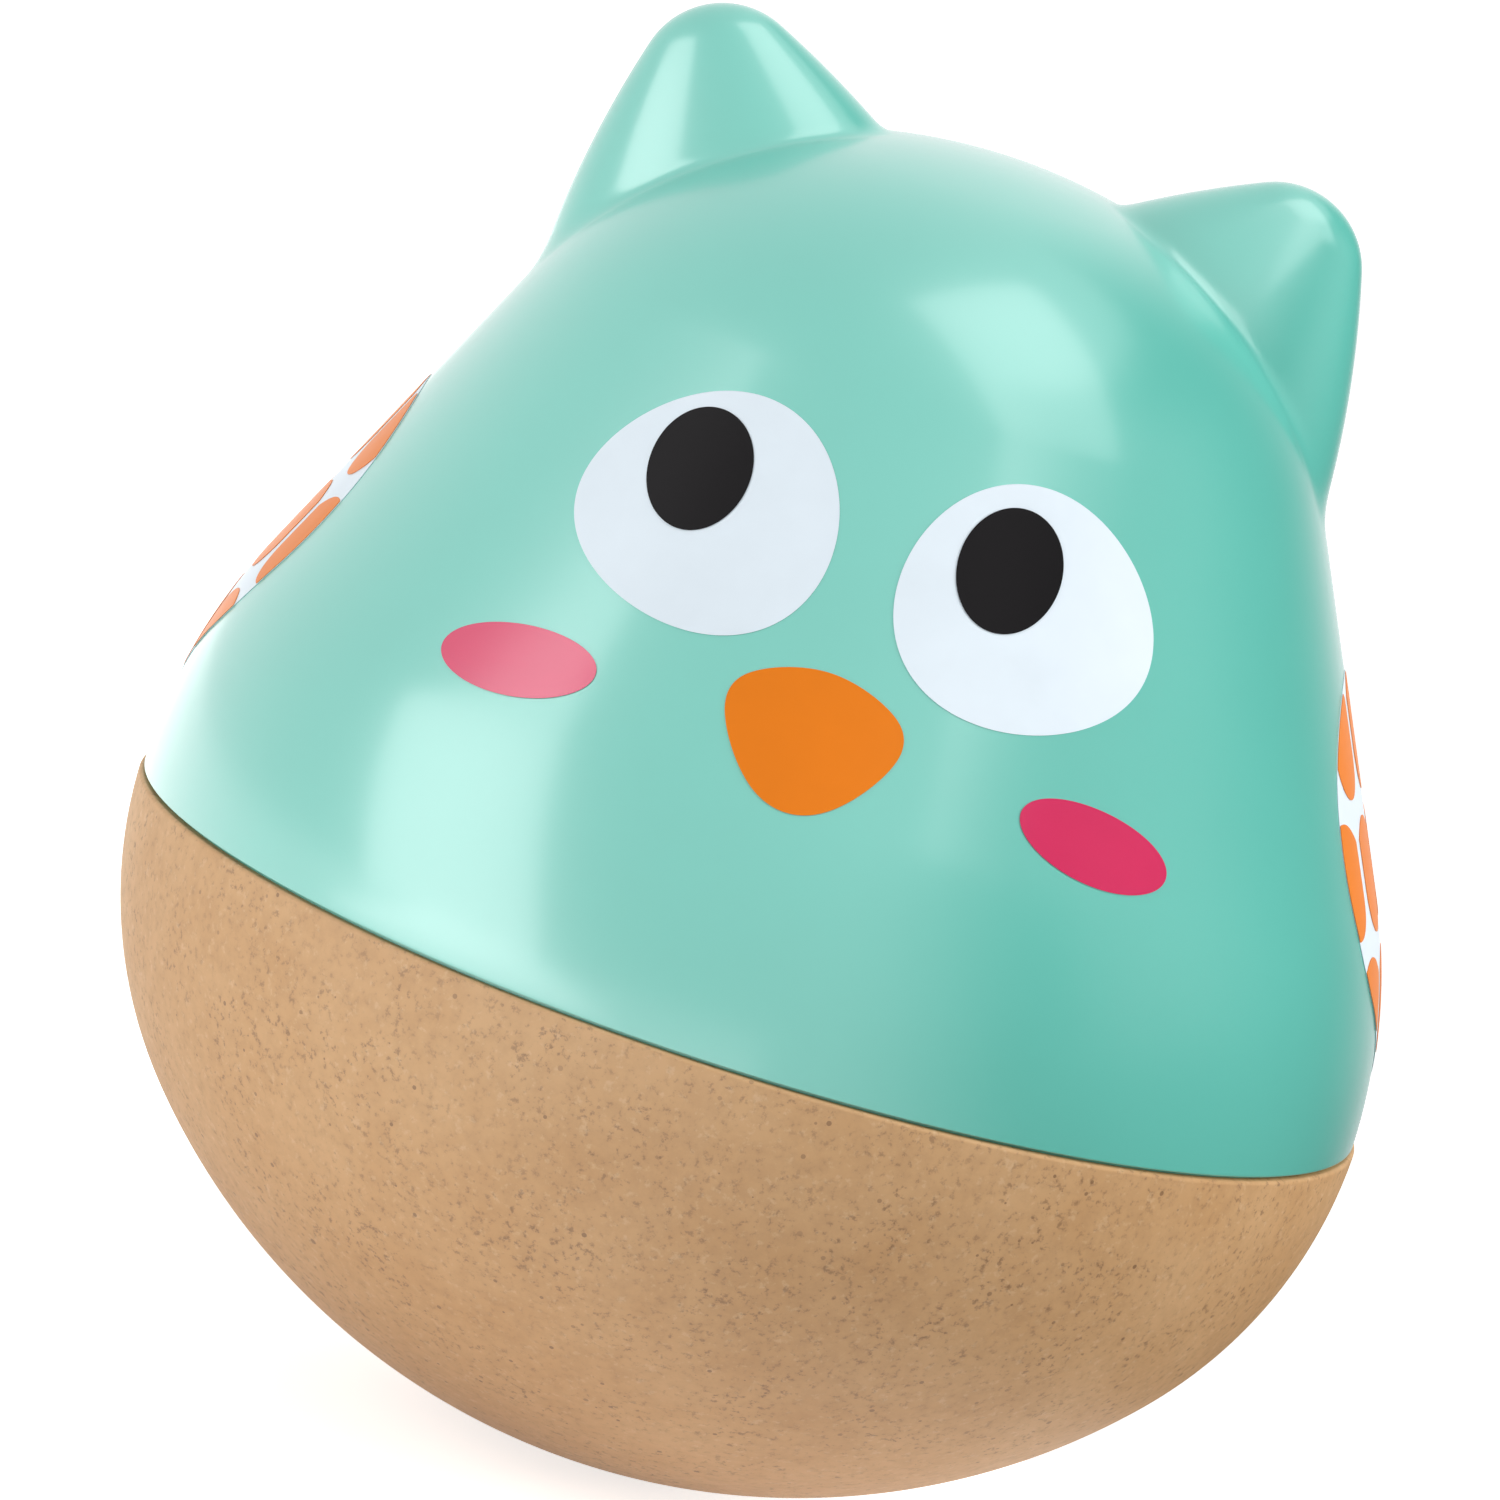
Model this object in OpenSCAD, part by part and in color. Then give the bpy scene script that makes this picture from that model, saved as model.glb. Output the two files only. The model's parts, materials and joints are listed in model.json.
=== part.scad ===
// Owl roly poly toy: a weighted wood-fibre bowl, a hollow dome with two ears, and a chime inside.
// Millimetres, +Z up, the face looks towards -Y, and the origin is under the middle of the sole.

/* [Bowl] */
// Radius of the bowl's round side
rim_r = 39; // [35:0.5:43]
// How far the sole reaches below the round side
sole_drop = 7.5; // [6:0.25:10]
// How far the bowl's rim stands proud of the dome
rim_step = 0.3; // [0.1:0.1:0.6]
// Wall of the bowl
base_wall = 3; // [2.4:0.1:3.6]
// Diameter of the flat under the sole
foot_d = 8; // [5:0.5:12]

/* [Dome] */
// Diameter of the dome at the seam
body_d = 110; // [102:1:122]
// Wall of the dome and the ears
shell_wall = 2.4; // [1.8:0.1:3]
// Radius of the round flank above the seam
flank_r = 48.5; // [42:0.5:56]
// Lean of the straight side
flank_lean = 25.8; // [23:0.2:28]
// Length of the straight side
flank_l = 36; // [32:0.5:40]
// Radius of the shoulder
shoulder_r = 32; // [28:0.5:36]
// Angle at which the shoulder turns into the crown
crown_from = 72.8; // [70:0.2:76]

/* [Ears] */
// Distance between the middles of the ear tips
ear_gap = 49.7; // [45:0.1:54]
// How far the ears stand over the crown
ear_rise = 5.5; // [3:0.1:8]
// Radius of the ear tip
ear_tip_r = 7.5; // [6:0.1:9]
// Outward lean of the ear
ear_lean = 25.2; // [20:0.2:30]
// Radius of the ear's long side
ear_side_r = 90; // [70:1:120]
// Angle between the ear's axis and its side at the tip
ear_open = 41; // [36:0.5:46]
// Depth of the ear over its width
ear_flat = 0.65; // [0.55:0.01:0.8]
// How far the ear's root reaches below the tip's middle
ear_root = 16; // [15:0.5:18]

/* [Seam] */
// Length of the dome's spigot in the bowl
spigot_l = 6; // [4.5:0.5:8]
// Wall of the spigot
spigot_t = 1.8; // [1.2:0.1:2.4]
// Play between spigot and socket
spigot_gap = 0.1; // [0.05:0.05:0.2]
// Radius of the snap bead on the spigot
bead_r = 0.6; // [0.4:0.05:0.8]
// Height of the shadow groove over the rim
groove_h = 0.3; // [0.2:0.05:0.5]
// Depth of the shadow groove
groove_d = 0.7; // [0.4:0.05:0.9]

/* [Prints] */
// Thickness of a printed film
print_t = 0.12; // [0.08:0.01:0.2]
// Bond line under a film
print_gap = 0.03; // [0.02:0.01:0.05]
// Distance of the eye's main round from the middle
eye_x = 12.3; // [11:0.1:14]
// Height of the eye's main round over the seam
eye_h = 41.1; // [38:0.1:44]
// Radius of the eye's main round
eye_r = 9.2; // [8:0.1:10]
// Radius of the eye's outer corner
eye_corner_r = 7; // [5.5:0.1:8]
// How far the outer corner lies outwards
eye_corner_out = 5.1; // [4:0.1:6]
// How far the outer corner lies lower
eye_corner_drop = 2; // [1:0.1:3]
// Width of the pupil
pupil_w = 8.5; // [7:0.1:9.5]
// Height of the pupil
pupil_l = 9.9; // [8.5:0.1:11]
// Glance: how far both pupils look to the -X side
pupil_glance = 2; // [-2:0.1:2.2]
// Distance of the pupil from the middle before the glance
pupil_x = 13.4; // [12:0.1:14.5]
// Height of the pupil over the seam
pupil_h = 43.6; // [41:0.1:45]
// Half the distance between the beak's upper corners
beak_x = 4.4; // [3.5:0.1:5.5]
// Radius of the beak's upper corners
beak_corner_r = 3.2; // [2.5:0.1:4]
// Radius of the beak's lower round
beak_tip_r = 5.7; // [5:0.1:6.5]
// Height of the beak's lower round over the seam
beak_h = 26.6; // [24:0.1:29]
// How far the beak's corners lie over its lower round
beak_rise = 1.2; // [0.5:0.1:2]
// Distance of the cheek from the middle
cheek_x = 24.8; // [22:0.1:28]
// Height of the cheek over the seam
cheek_h = 24.6; // [22:0.1:27]
// Length of the cheek
cheek_l = 13.2; // [11:0.1:15]
// Width of the cheek
cheek_w = 5.4; // [4.5:0.1:6.5]
// Slope of the cheek, its outer end lower
cheek_tilt = 13.2; // [8:0.2:18]
// Radius of the wing's upper round
wing_r = 14.2; // [12:0.1:16]
// Height of the wing's upper round over the seam
wing_h = 25.1; // [22:0.1:28]
// Radius of the wing's lower tip
wing_tip_r = 3.5; // [2.5:0.1:4.5]
// How far the wing's tip lies below its upper round
wing_drop = 16; // [14:0.1:18]
// How far the wing's tip lies to the back
wing_sweep = 3; // [0:0.1:5]
// Width of a feather
feather_w = 7; // [6:0.1:8]
// Length of a feather
feather_l = 7.6; // [6.5:0.1:8.5]
// White gap between feathers
feather_gap = 3.2; // [2.4:0.1:4]

/* [Weight] */
// Thickness of the weight in the middle
weight_t = 13.8; // [11:0.1:15]
// Play between the weight and the bowl
weight_gap = 0.2; // [0.1:0.05:0.3]
// Play between the weight and the deck's posts
weight_side_gap = 2; // [1:0.1:4]
// Distance of the weight's screws from its edge
weight_bolt_edge = 10; // [9:0.1:12]

/* [Chime] */
// Diameter of a chime rod
rod_d = 3; // [2.5:0.1:3.6]
// Free length of the shortest rod
rod_first = 20; // [18:0.5:23]
// Difference in length from rod to rod
rod_step = 2; // [1:0.1:2.4]
// Thickness of the plate that the rods stand in
plate_t = 3; // [2.4:0.1:4]
// Plate outside the outermost rods
plate_edge = 2.4; // [1.6:0.1:3]
// Distance of the plate's screws from the middle
plate_bolt_r = 11; // [9:0.1:12]
// Height of a rubber grommet
grommet_h = 3; // [2:0.1:4]
// Diameter of a rubber grommet
grommet_d = 8; // [7:0.1:9]
// Thickness of the deck
deck_t = 2.5; // [2:0.1:3.5]
// Room between the weight's screw heads and the deck
deck_gap = 5.8; // [4.8:0.1:7]
// Edge of the deck outside its posts
deck_edge = 1; // [0.5:0.1:2]
// Room between the deck's edge and the bowl
deck_side_gap = 0.5; // [0.3:0.1:1]
// Diameter of the deck's posts
post_d = 8; // [7:0.1:9]

/* [Clapper] */
// Diameter of the striker's bob
bob_d = 14; // [12:0.1:16]
// Room between the bob and the plate
bob_gap = 2.5; // [2.2:0.1:4]
// Distance from the bob's middle to the link pin
stem_l = 20; // [18:0.1:23]
// Diameter of the stem
stem_d = 2.4; // [2:0.1:3]
// Distance between the two pins of the cross link
link_l = 8; // [7.2:0.1:10]
// Swing of the link about X, each way
pitch_swing = 20; // [14:0.5:22]
// Swing of the clapper about Y, each way
roll_swing = 28; // [20:0.5:30]
// Room between the bob and a rod at the end of a swing
strike_gap = 0.4; // [0.3:0.05:0.8]
// Diameter of the two pivot pins
pin_d = 2; // [1.6:0.1:2.4]
// Radial play of a pin in a turning bore
pin_play = 0.05; // [0.03:0.01:0.08]
// Radius of the eyes round the pins
eye_boss_r = 3; // [2.6:0.1:3.3]
// Thickness of a fork's cheek
fork_t = 2.2; // [1.8:0.1:3]
// Width of the stem's eye between the fork's cheeks
stem_eye_w = 4; // [3.4:0.1:5]
// Width of the link's tongue between the bridge's cheeks
tongue_w = 7.4; // [6.4:0.1:8.4]
// Side play beside the tongue and the stem's eye
side_play = 0.3; // [0.2:0.05:0.5]
// Thickness of the bridge's arch
arch_t = 4; // [3:0.1:5]
// Width of the bridge's arch
arch_w = 8; // [7:0.1:10]
// Room between the plate and the bridge's legs
arch_gap = 2; // [1.2:0.1:3]
// Room over the bridge pin under the arch
pivot_drop = 6; // [5:0.1:8]
// How far the legs stand proud of the arch
leg_lip = 0.4; // [0.2:0.1:0.8]
// Thickness of the bridge's feet
bridge_foot_t = 2.5; // [2:0.1:3.5]

/* [Fasteners] */
// Diameter of every screw's shank
screw_d = 2.6; // [2.2:0.1:3]
// Diameter of every screw's head
head_d = 5; // [4.6:0.1:5.6]
// Height of every screw's head
head_h = 2; // [1.6:0.1:2.4]
// Length of the screws in the bowl
screw_l = 10; // [9:0.1:11]
// Length of a plate screw below the deck
plate_grip = 3; // [2.5:0.1:3.4]
// Diameter of the bosses that the screws bite in
boss_d = 7; // [6.4:0.1:7.6]
// Play between a boss and the weight's hole
boss_play = 0.3; // [0.2:0.05:0.5]
// Radial play of a screw in a through hole
hole_play = 0.3; // [0.2:0.05:0.4]
// Radial play of a pressed or bitten fit
press_play = 0.02; // [0.01:0.005:0.03]
// Diameter of a washer
washer_d = 11; // [10:0.1:12]
// Thickness of a washer
washer_t = 1; // [0.8:0.1:1.4]

/* [Hidden] */
$fn = 96;

// Bowl: the sole's arc runs tangent into the side's arc
body_r = body_d / 2;
bowl_r = body_r + rim_step;
rim_c = bowl_r - rim_r;
bowl_h = rim_r + sole_drop;
sole_r = (bowl_h * bowl_h + rim_c * rim_c - rim_r * rim_r) / (2 * sole_drop);
sole_z = sqrt(sole_r * sole_r - foot_d * foot_d / 4);
seam_z = sole_z - sole_r + bowl_h;
sole_turn = atan2(seam_z - sole_z, rim_c);

// Dome, over the seam: flank, straight side, shoulder and crown, each tangent to the next
flank_c = [body_r - flank_r, 0];
flank_n = [cos(flank_lean), sin(flank_lean)];
flank_t = [-sin(flank_lean), cos(flank_lean)];
shoulder_c = flank_c + (flank_r - shoulder_r) * flank_n + flank_l * flank_t;
crown_r = shoulder_r + shoulder_c.x / cos(crown_from);
crown_c = [0, shoulder_c.y - (crown_r - shoulder_r) * sin(crown_from)];
crown_top = crown_c.y + crown_r;
flank_steps = 10;
shoulder_steps = 10;
crown_steps = 4;

// Ears
ear_x = ear_gap / 2;
ear_z = seam_z + crown_top + ear_rise - ear_tip_r;
ear_side_c = -(ear_side_r - ear_tip_r) * [cos(ear_open), sin(ear_open)];
ear_steps = 6;
ear_sides = 32;

// Seam joint
socket_r = bowl_r - base_wall;
spigot_r = socket_r - spigot_gap;
socket_l = spigot_l + 2 * spigot_gap;
bead_z = seam_z - spigot_l / 2;
band_h = spigot_l;

// Films: whites lie on the dome, pupils and feathers on the whites
print_from = body_r / 4;
first_film = print_gap;
second_film = 2 * print_gap + print_t;

// Rods stand where the bob stops just short of them
bob_r = bob_d / 2;
reach = bob_r + rod_d / 2 + strike_gap;
rod_x = stem_l * sin(roll_swing) + reach;
rod_y = (link_l + stem_l) * sin(pitch_swing) + reach;
corner_x = stem_l * sin(roll_swing) + (reach + strike_gap) * cos(45);
corner_y = (link_l + stem_l * cos(roll_swing)) * sin(pitch_swing) + (reach + strike_gap) * sin(45);
rod_at = [
    [rod_x, 0], [corner_x, corner_y], [0, rod_y], [-corner_x, corner_y],
    [-rod_x, 0], [-corner_x, -corner_y], [0, -rod_y], [corner_x, -corner_y]
];
plate_r = max(norm([corner_x, corner_y]), rod_x, rod_y) + rod_d / 2 + plate_edge;
arch_r = plate_r + arch_gap;
post_r = arch_r + arch_t + post_d / 2;
deck_r = post_r + post_d / 2 + deck_edge;

// Levels, from the sole up: the deck clears the weight's screws and lies where the bowl is wide enough
bowl_floor = sole_z - sole_r + base_wall;
weight_top = bowl_floor + weight_gap + weight_t;
weight_r = post_r - post_d / 2 - weight_side_gap;
weight_bolt_r = weight_r - weight_bolt_edge;
deck_reach = deck_r + deck_side_gap - rim_c;
deck_seat = seam_z - sqrt(pow(rim_r - base_wall, 2) - deck_reach * deck_reach);
deck_z = max(weight_top + washer_t + head_h + deck_gap, deck_seat);
deck_top = deck_z + deck_t;
plate_z = deck_top + grommet_h;
plate_top = plate_z + plate_t;
bob_z = plate_top + bob_gap + bob_r;
link_pin_z = bob_z + stem_l;
bridge_pin_z = link_pin_z + link_l;
arch_z = bridge_pin_z + pivot_drop - arch_r;

// Screws
bite_d = screw_d + 2 * press_play;
pass_d = screw_d + 2 * hole_play;
pilot_end = 0.6;
plate_screw_l = plate_t + grommet_h + deck_t + plate_grip;
deck_boss_l = plate_grip + pilot_end;
recess_w = head_d / 6;
recess_l = head_d * 0.6;
recess_h = head_h * 0.5;
weight_angles = [30, 150, 270];
plate_angles = [67.5, 187.5, 292.5];

// Stem and fork
bob_bore_l = bob_r + 2;
fork_gap = stem_eye_w + 2 * side_play;
fork_w = fork_gap + 2 * fork_t;
clevis_gap = tongue_w + 2 * side_play;
clevis_w = clevis_gap + 2 * fork_t;
leg_w = arch_w + 2 * leg_lip;
leg_grip = arch_t / 2;

mint = "#8ed3c6";
tan = "#cda97c";
orange = "#f0832a";
white = "#eef4f8";
ink = "#242022";
pink = "#dc2a68";
steel = "silver";
iron = "dimgray";
ivory = "#e9e4d6";

// Unit vector at an angle, a value between two others, and points along an arc
function dir(a) = [cos(a), sin(a)];
function mix(a, b, t) = a + (b - a) * t;
function arc(centre, radius, from, to, steps) =
    [for (i = [0:steps]) centre + radius * dir(mix(from, to, i / steps))];

// Slice of a disc under an arc, thick enough to close the gap over the arc's chord
module arc_pad(centre, radius, from, to) {
    depth = 2 * radius * (1 - cos((to - from) / 2)) + 1;
    far = 1.5 * radius;
    intersection() {
        translate(centre) circle(radius);
        translate(centre)
            polygon([
                (radius - depth) * dir(from), far * dir(from), far * dir((from + to) / 2),
                far * dir(to), (radius - depth) * dir(to)
            ]);
    }
}

// Half section of the bowl, filled, grown outwards by d
module bowl_half(d) {
    turn = [0, sole_z] + (sole_r + d) * dir(sole_turn);
    intersection() {
        union() {
            polygon([[0, sole_z - sole_r - d], turn, [bowl_r + d, seam_z], [0, seam_z]]);
            arc_pad([0, sole_z], sole_r + d, -90, sole_turn);
            arc_pad([rim_c, seam_z], rim_r + d, sole_turn, 0);
        }
        square([2 * body_r, seam_z]);
    }
}

// Outline of the dome over the seam, grown outwards by d, with its round parts in short cones
function flank_line(d) = arc(flank_c, flank_r + d, 0, flank_lean, flank_steps);
function shoulder_line(d) = arc(shoulder_c, shoulder_r + d, flank_lean, crown_from, shoulder_steps);
function crown_line(d) = arc(crown_c, crown_r + d, crown_from, 90, crown_steps);

module dome_half(d) {
    crown = crown_line(d);
    polygon(concat([[0, 0]], flank_line(d), shoulder_line(d), [for (i = [1:crown_steps]) crown[i]]));
}

module dome_solid(d) {
    translate([0, 0, seam_z]) rotate_extrude() dome_half(d);
}

// Half section of an ear about its own axis, grown outwards by d: the long side, then the tip
module ear_half(d) {
    root_turn = asin((-ear_root - ear_side_c.y) / (ear_side_r + d));
    side = arc(ear_side_c, ear_side_r + d, root_turn, ear_open, ear_steps);
    tip = arc([0, 0], ear_tip_r + d, ear_open, 90, ear_steps);
    polygon(concat([[0, -ear_root]], side, [for (i = [1:ear_steps]) tip[i]]));
}

// Both ears, oval in section
module ears(d) {
    for (side = [0, 1])
        mirror([side, 0, 0])
            translate([ear_x, 0, ear_z])
                rotate([0, ear_lean, 0])
                    hull() scale([1, ear_flat, 1]) rotate_extrude($fn = ear_sides) ear_half(d);
}

// Places
module at_ring(radius, angles, z) {
    for (a = angles)
        translate([radius * cos(a), radius * sin(a), z]) children();
}

// Pan head screw with a cross recess, its seat at z = 0
module screw(length) {
    dome_r = (head_d * head_d / 4 + head_h * head_h) / (2 * head_h);
    translate([0, 0, -length]) cylinder(d = screw_d, h = length);
    difference() {
        intersection() {
            cylinder(d = head_d, h = head_h);
            translate([0, 0, head_h - dome_r]) sphere(dome_r);
        }
        for (a = [0, 90])
            rotate(a)
                translate([-recess_l / 2, -recess_w / 2, head_h - recess_h])
                    cube([recess_l, recess_w, head_h]);
    }
}

// Half section of the dome's side up to the shoulder, filled, grown outwards by d
module side_half(d) {
    top = shoulder_line(d)[0];
    polygon(concat([[0, 0]], flank_line(d), [top, [0, top.y]]));
}

// Film on the dome's side, from a height over its face, cut to the outline given as a child
module film(from) {
    intersection() {
        translate([0, 0, seam_z])
            rotate_extrude()
                difference() {
                    side_half(from + print_t);
                    side_half(from);
                }
        children();
    }
}

// Outline in the front view, pushed through the face
module through_front() {
    rotate([90, 0, 0]) translate([0, 0, print_from]) linear_extrude(body_r) children();
}

// Outline in the side view, pushed through the flank at +X
module through_side() {
    rotate([90, 0, 90]) translate([0, 0, print_from]) linear_extrude(body_r) children();
}

module oval(w, l) {
    polygon([for (a = [0:5:355]) [w / 2 * cos(a), l / 2 * sin(a)]]);
}

module base_shell() {
    color(tan)
        difference() {
            union() {
                difference() {
                    rotate_extrude() bowl_half(0);
                    rotate_extrude() bowl_half(-base_wall);
                }
                intersection() {
                    rotate_extrude() bowl_half(-base_wall / 2);
                    union() {
                        at_ring(post_r, [0:90:270], 0) cylinder(d = post_d, h = deck_z);
                        at_ring(weight_bolt_r, weight_angles, 0)
                            cylinder(d = boss_d, h = weight_top - weight_gap);
                    }
                }
            }
            translate([0, 0, seam_z - socket_l]) cylinder(r = socket_r, h = 2 * socket_l);
            rotate_extrude() translate([spigot_r, bead_z]) circle(bead_r + spigot_gap);
            at_ring(post_r, [0:90:270], deck_top - screw_l - pilot_end) cylinder(d = bite_d, h = 2 * screw_l);
            at_ring(weight_bolt_r, weight_angles, weight_top + washer_t - screw_l - pilot_end)
                cylinder(d = bite_d, h = 2 * screw_l);
        }
}

module base_weight() {
    color(iron)
        difference() {
            rotate_extrude()
                intersection() {
                    translate([0, sole_z]) circle(sole_r - base_wall - weight_gap);
                    square([weight_r, weight_top]);
                }
            at_ring(weight_bolt_r, weight_angles, 0) cylinder(d = boss_d + 2 * boss_play, h = 2 * weight_top);
        }
}

module weight_washers() {
    color(steel)
        at_ring(weight_bolt_r, weight_angles, weight_top)
            difference() {
                cylinder(d = washer_d, h = washer_t);
                translate([0, 0, -washer_t]) cylinder(d = pass_d, h = 3 * washer_t);
            }
}

module weight_screws() {
    color(steel) at_ring(weight_bolt_r, weight_angles, weight_top + washer_t) screw(screw_l);
}

module chime_deck() {
    color(ivory)
        difference() {
            union() {
                translate([0, 0, deck_z]) cylinder(r = deck_r, h = deck_t);
                at_ring(plate_bolt_r, plate_angles, deck_z - deck_boss_l) cylinder(d = boss_d, h = deck_boss_l + deck_t);
            }
            at_ring(post_r, [0:90:270], deck_z - deck_t) cylinder(d = pass_d, h = 3 * deck_t);
            at_ring(plate_bolt_r, plate_angles, deck_top - deck_t - plate_grip) cylinder(d = bite_d, h = screw_l);
        }
}

module deck_screws() {
    color(steel) at_ring(post_r, [90, 270], deck_top) screw(screw_l);
}

module plate_grommets() {
    color(ink)
        at_ring(plate_bolt_r, plate_angles, deck_top)
            difference() {
                cylinder(d = grommet_d, h = grommet_h);
                translate([0, 0, -grommet_h]) cylinder(d = pass_d, h = 3 * grommet_h);
            }
}

module chime_plate() {
    color(steel)
        difference() {
            translate([0, 0, plate_z]) cylinder(r = plate_r, h = plate_t);
            for (p = rod_at)
                translate([p.x, p.y, plate_z - plate_t]) cylinder(d = rod_d + 2 * press_play, h = 3 * plate_t);
            at_ring(plate_bolt_r, plate_angles, plate_z - plate_t) cylinder(d = pass_d, h = 3 * plate_t);
        }
}

module plate_screws() {
    color(steel) at_ring(plate_bolt_r, plate_angles, plate_top) screw(plate_screw_l);
}

// Rod number i, with a small chamfer at its free end
module chime_rod(i) {
    length = plate_t + rod_first + i * rod_step;
    edge = rod_d / 6;
    color(steel)
        translate([rod_at[i].x, rod_at[i].y, plate_z]) {
            cylinder(d = rod_d, h = length - edge);
            translate([0, 0, length - edge]) cylinder(d1 = rod_d, d2 = rod_d - 2 * edge, h = edge);
        }
}

module clapper_bridge() {
    color(ivory)
        difference() {
            union() {
                translate([0, 0, arch_z])
                    rotate([90, 0, 0])
                        rotate_extrude(angle = 180)
                            translate([arch_r, -arch_w / 2]) square([arch_t, arch_w]);
                for (side = [0, 1])
                    mirror([side, 0, 0]) {
                        translate([arch_r - leg_lip, -leg_w / 2, deck_top])
                            cube([arch_t + 2 * leg_lip, leg_w, arch_z + leg_grip - deck_top]);
                        translate([arch_r, -arch_w / 2, deck_top]) cube([post_r - arch_r, arch_w, bridge_foot_t]);
                        translate([post_r, 0, deck_top]) cylinder(d = arch_w, h = bridge_foot_t);
                        translate([clevis_gap / 2, 0, bridge_pin_z])
                            rotate([0, 90, 0]) cylinder(r = eye_boss_r, h = fork_t);
                        translate([clevis_gap / 2, -eye_boss_r, bridge_pin_z])
                            cube([fork_t, 2 * eye_boss_r, pivot_drop + arch_t / 4]);
                    }
            }
            translate([-clevis_w, 0, bridge_pin_z]) rotate([0, 90, 0]) cylinder(d = pin_d + 2 * press_play, h = 2 * clevis_w);
            at_ring(post_r, [0, 180], deck_top - bridge_foot_t) cylinder(d = pass_d, h = 3 * bridge_foot_t);
        }
}

module bridge_screws() {
    color(steel) at_ring(post_r, [0, 180], deck_top + bridge_foot_t) screw(screw_l + bridge_foot_t);
}

module bridge_pin() {
    color(steel) translate([-clevis_w / 2, 0, bridge_pin_z]) rotate([0, 90, 0]) cylinder(d = pin_d, h = clevis_w);
}

// Cross link: a tongue on the bridge pin over a fork that holds the link pin
module gimbal_link() {
    neck_low = link_pin_z + eye_boss_r + side_play;
    color(ivory)
        difference() {
            union() {
                translate([-tongue_w / 2, 0, bridge_pin_z]) rotate([0, 90, 0]) cylinder(r = eye_boss_r, h = tongue_w);
                translate([-eye_boss_r, -fork_w / 2, neck_low])
                    cube([2 * eye_boss_r, fork_w, bridge_pin_z - eye_boss_r / 2 - neck_low]);
                for (side = [0, 1])
                    mirror([0, side, 0]) {
                        translate([-eye_boss_r, fork_gap / 2, link_pin_z])
                            cube([2 * eye_boss_r, fork_t, bridge_pin_z - eye_boss_r / 2 - link_pin_z]);
                        translate([0, fork_w / 2, link_pin_z]) rotate([90, 0, 0]) cylinder(r = eye_boss_r, h = fork_t);
                    }
            }
            translate([-tongue_w, 0, bridge_pin_z])
                rotate([0, 90, 0]) cylinder(d = pin_d + 2 * pin_play, h = 2 * tongue_w);
            translate([0, fork_w, link_pin_z]) rotate([90, 0, 0]) cylinder(d = pin_d + 2 * press_play, h = 2 * fork_w);
        }
}

module link_pin() {
    color(steel) translate([0, fork_w / 2, link_pin_z]) rotate([90, 0, 0]) cylinder(d = pin_d, h = fork_w);
}

module clapper_stem() {
    color(steel)
        difference() {
            union() {
                translate([0, stem_eye_w / 2, link_pin_z]) rotate([90, 0, 0]) cylinder(r = eye_boss_r, h = stem_eye_w);
                translate([0, 0, bob_z + bob_r - bob_bore_l + side_play])
                    cylinder(d = stem_d, h = stem_l - bob_r + bob_bore_l - side_play - pin_d);
            }
            translate([0, stem_eye_w, link_pin_z])
                rotate([90, 0, 0]) cylinder(d = pin_d + 2 * pin_play, h = 2 * stem_eye_w);
        }
}

module clapper_bob() {
    color("burlywood")
        translate([0, 0, bob_z])
            difference() {
                sphere(bob_r);
                translate([0, 0, bob_r - bob_bore_l]) cylinder(d = stem_d + 2 * press_play, h = bob_d);
            }
}

module upper_shell() {
    wall_mid = body_r - shell_wall / 2;
    color(mint)
        difference() {
            union() {
                difference() {
                    union() {
                        dome_solid(0);
                        ears(0);
                    }
                    dome_solid(-shell_wall);
                    ears(-shell_wall);
                }
                rotate_extrude() {
                    polygon([
                        [spigot_r - spigot_t, seam_z - spigot_l], [spigot_r, seam_z - spigot_l], [spigot_r, seam_z],
                        [wall_mid, seam_z], [wall_mid, seam_z + band_h], [spigot_r - spigot_t, seam_z + band_h / 2]
                    ]);
                    translate([spigot_r, bead_z]) circle(bead_r);
                }
            }
            rotate_extrude() translate([body_r - groove_d, seam_z - groove_h]) square([2 * groove_d, 2 * groove_h]);
        }
}

module eye_outline() {
    hull() {
        translate([eye_x, eye_h]) circle(eye_r);
        translate([eye_x + eye_corner_out, eye_h - eye_corner_drop]) circle(eye_corner_r);
    }
}

module eye_white(side) {
    color(white)
        film(first_film) mirror([side, 0, 0]) through_front() translate([0, seam_z]) eye_outline();
}

module pupil(x) {
    color(ink)
        film(second_film) through_front() translate([x - pupil_glance, seam_z + pupil_h]) oval(pupil_w, pupil_l);
}

module beak() {
    color(orange)
        film(first_film)
            through_front()
                translate([0, seam_z + beak_h])
                    hull() {
                        circle(beak_tip_r);
                        for (side = [-1, 1])
                            translate([side * beak_x, beak_rise]) circle(beak_corner_r);
                    }
}

module cheek(side) {
    color(pink)
        film(first_film)
            mirror([side, 0, 0])
                through_front()
                    translate([cheek_x, seam_z + cheek_h]) rotate(-cheek_tilt) oval(cheek_l, cheek_w);
}

// Wing in the side view: front to the left, tip swept to the back
module wing_outline() {
    hull() {
        circle(wing_r);
        translate([wing_sweep, -wing_drop]) circle(wing_tip_r);
    }
}

// Rows of round-ended feathers, every other row set half a feather over
module feathers() {
    across = feather_w + feather_gap / 2;
    down = feather_l + feather_gap;
    for (row = [-1:2])
        for (column = [-2:2])
            translate([(column + (row % 2 == 0 ? 0 : 0.5)) * across, wing_r - feather_gap / 2 - row * down]) {
                translate([-feather_w / 2, feather_w / 2 - feather_l])
                    square([feather_w, feather_l - feather_w / 2]);
                translate([0, feather_w / 2 - feather_l]) circle(feather_w / 2);
            }
}

module wing_white(side) {
    color(white)
        film(first_film) mirror([side, 0, 0]) through_side() translate([0, seam_z + wing_h]) wing_outline();
}

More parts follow.
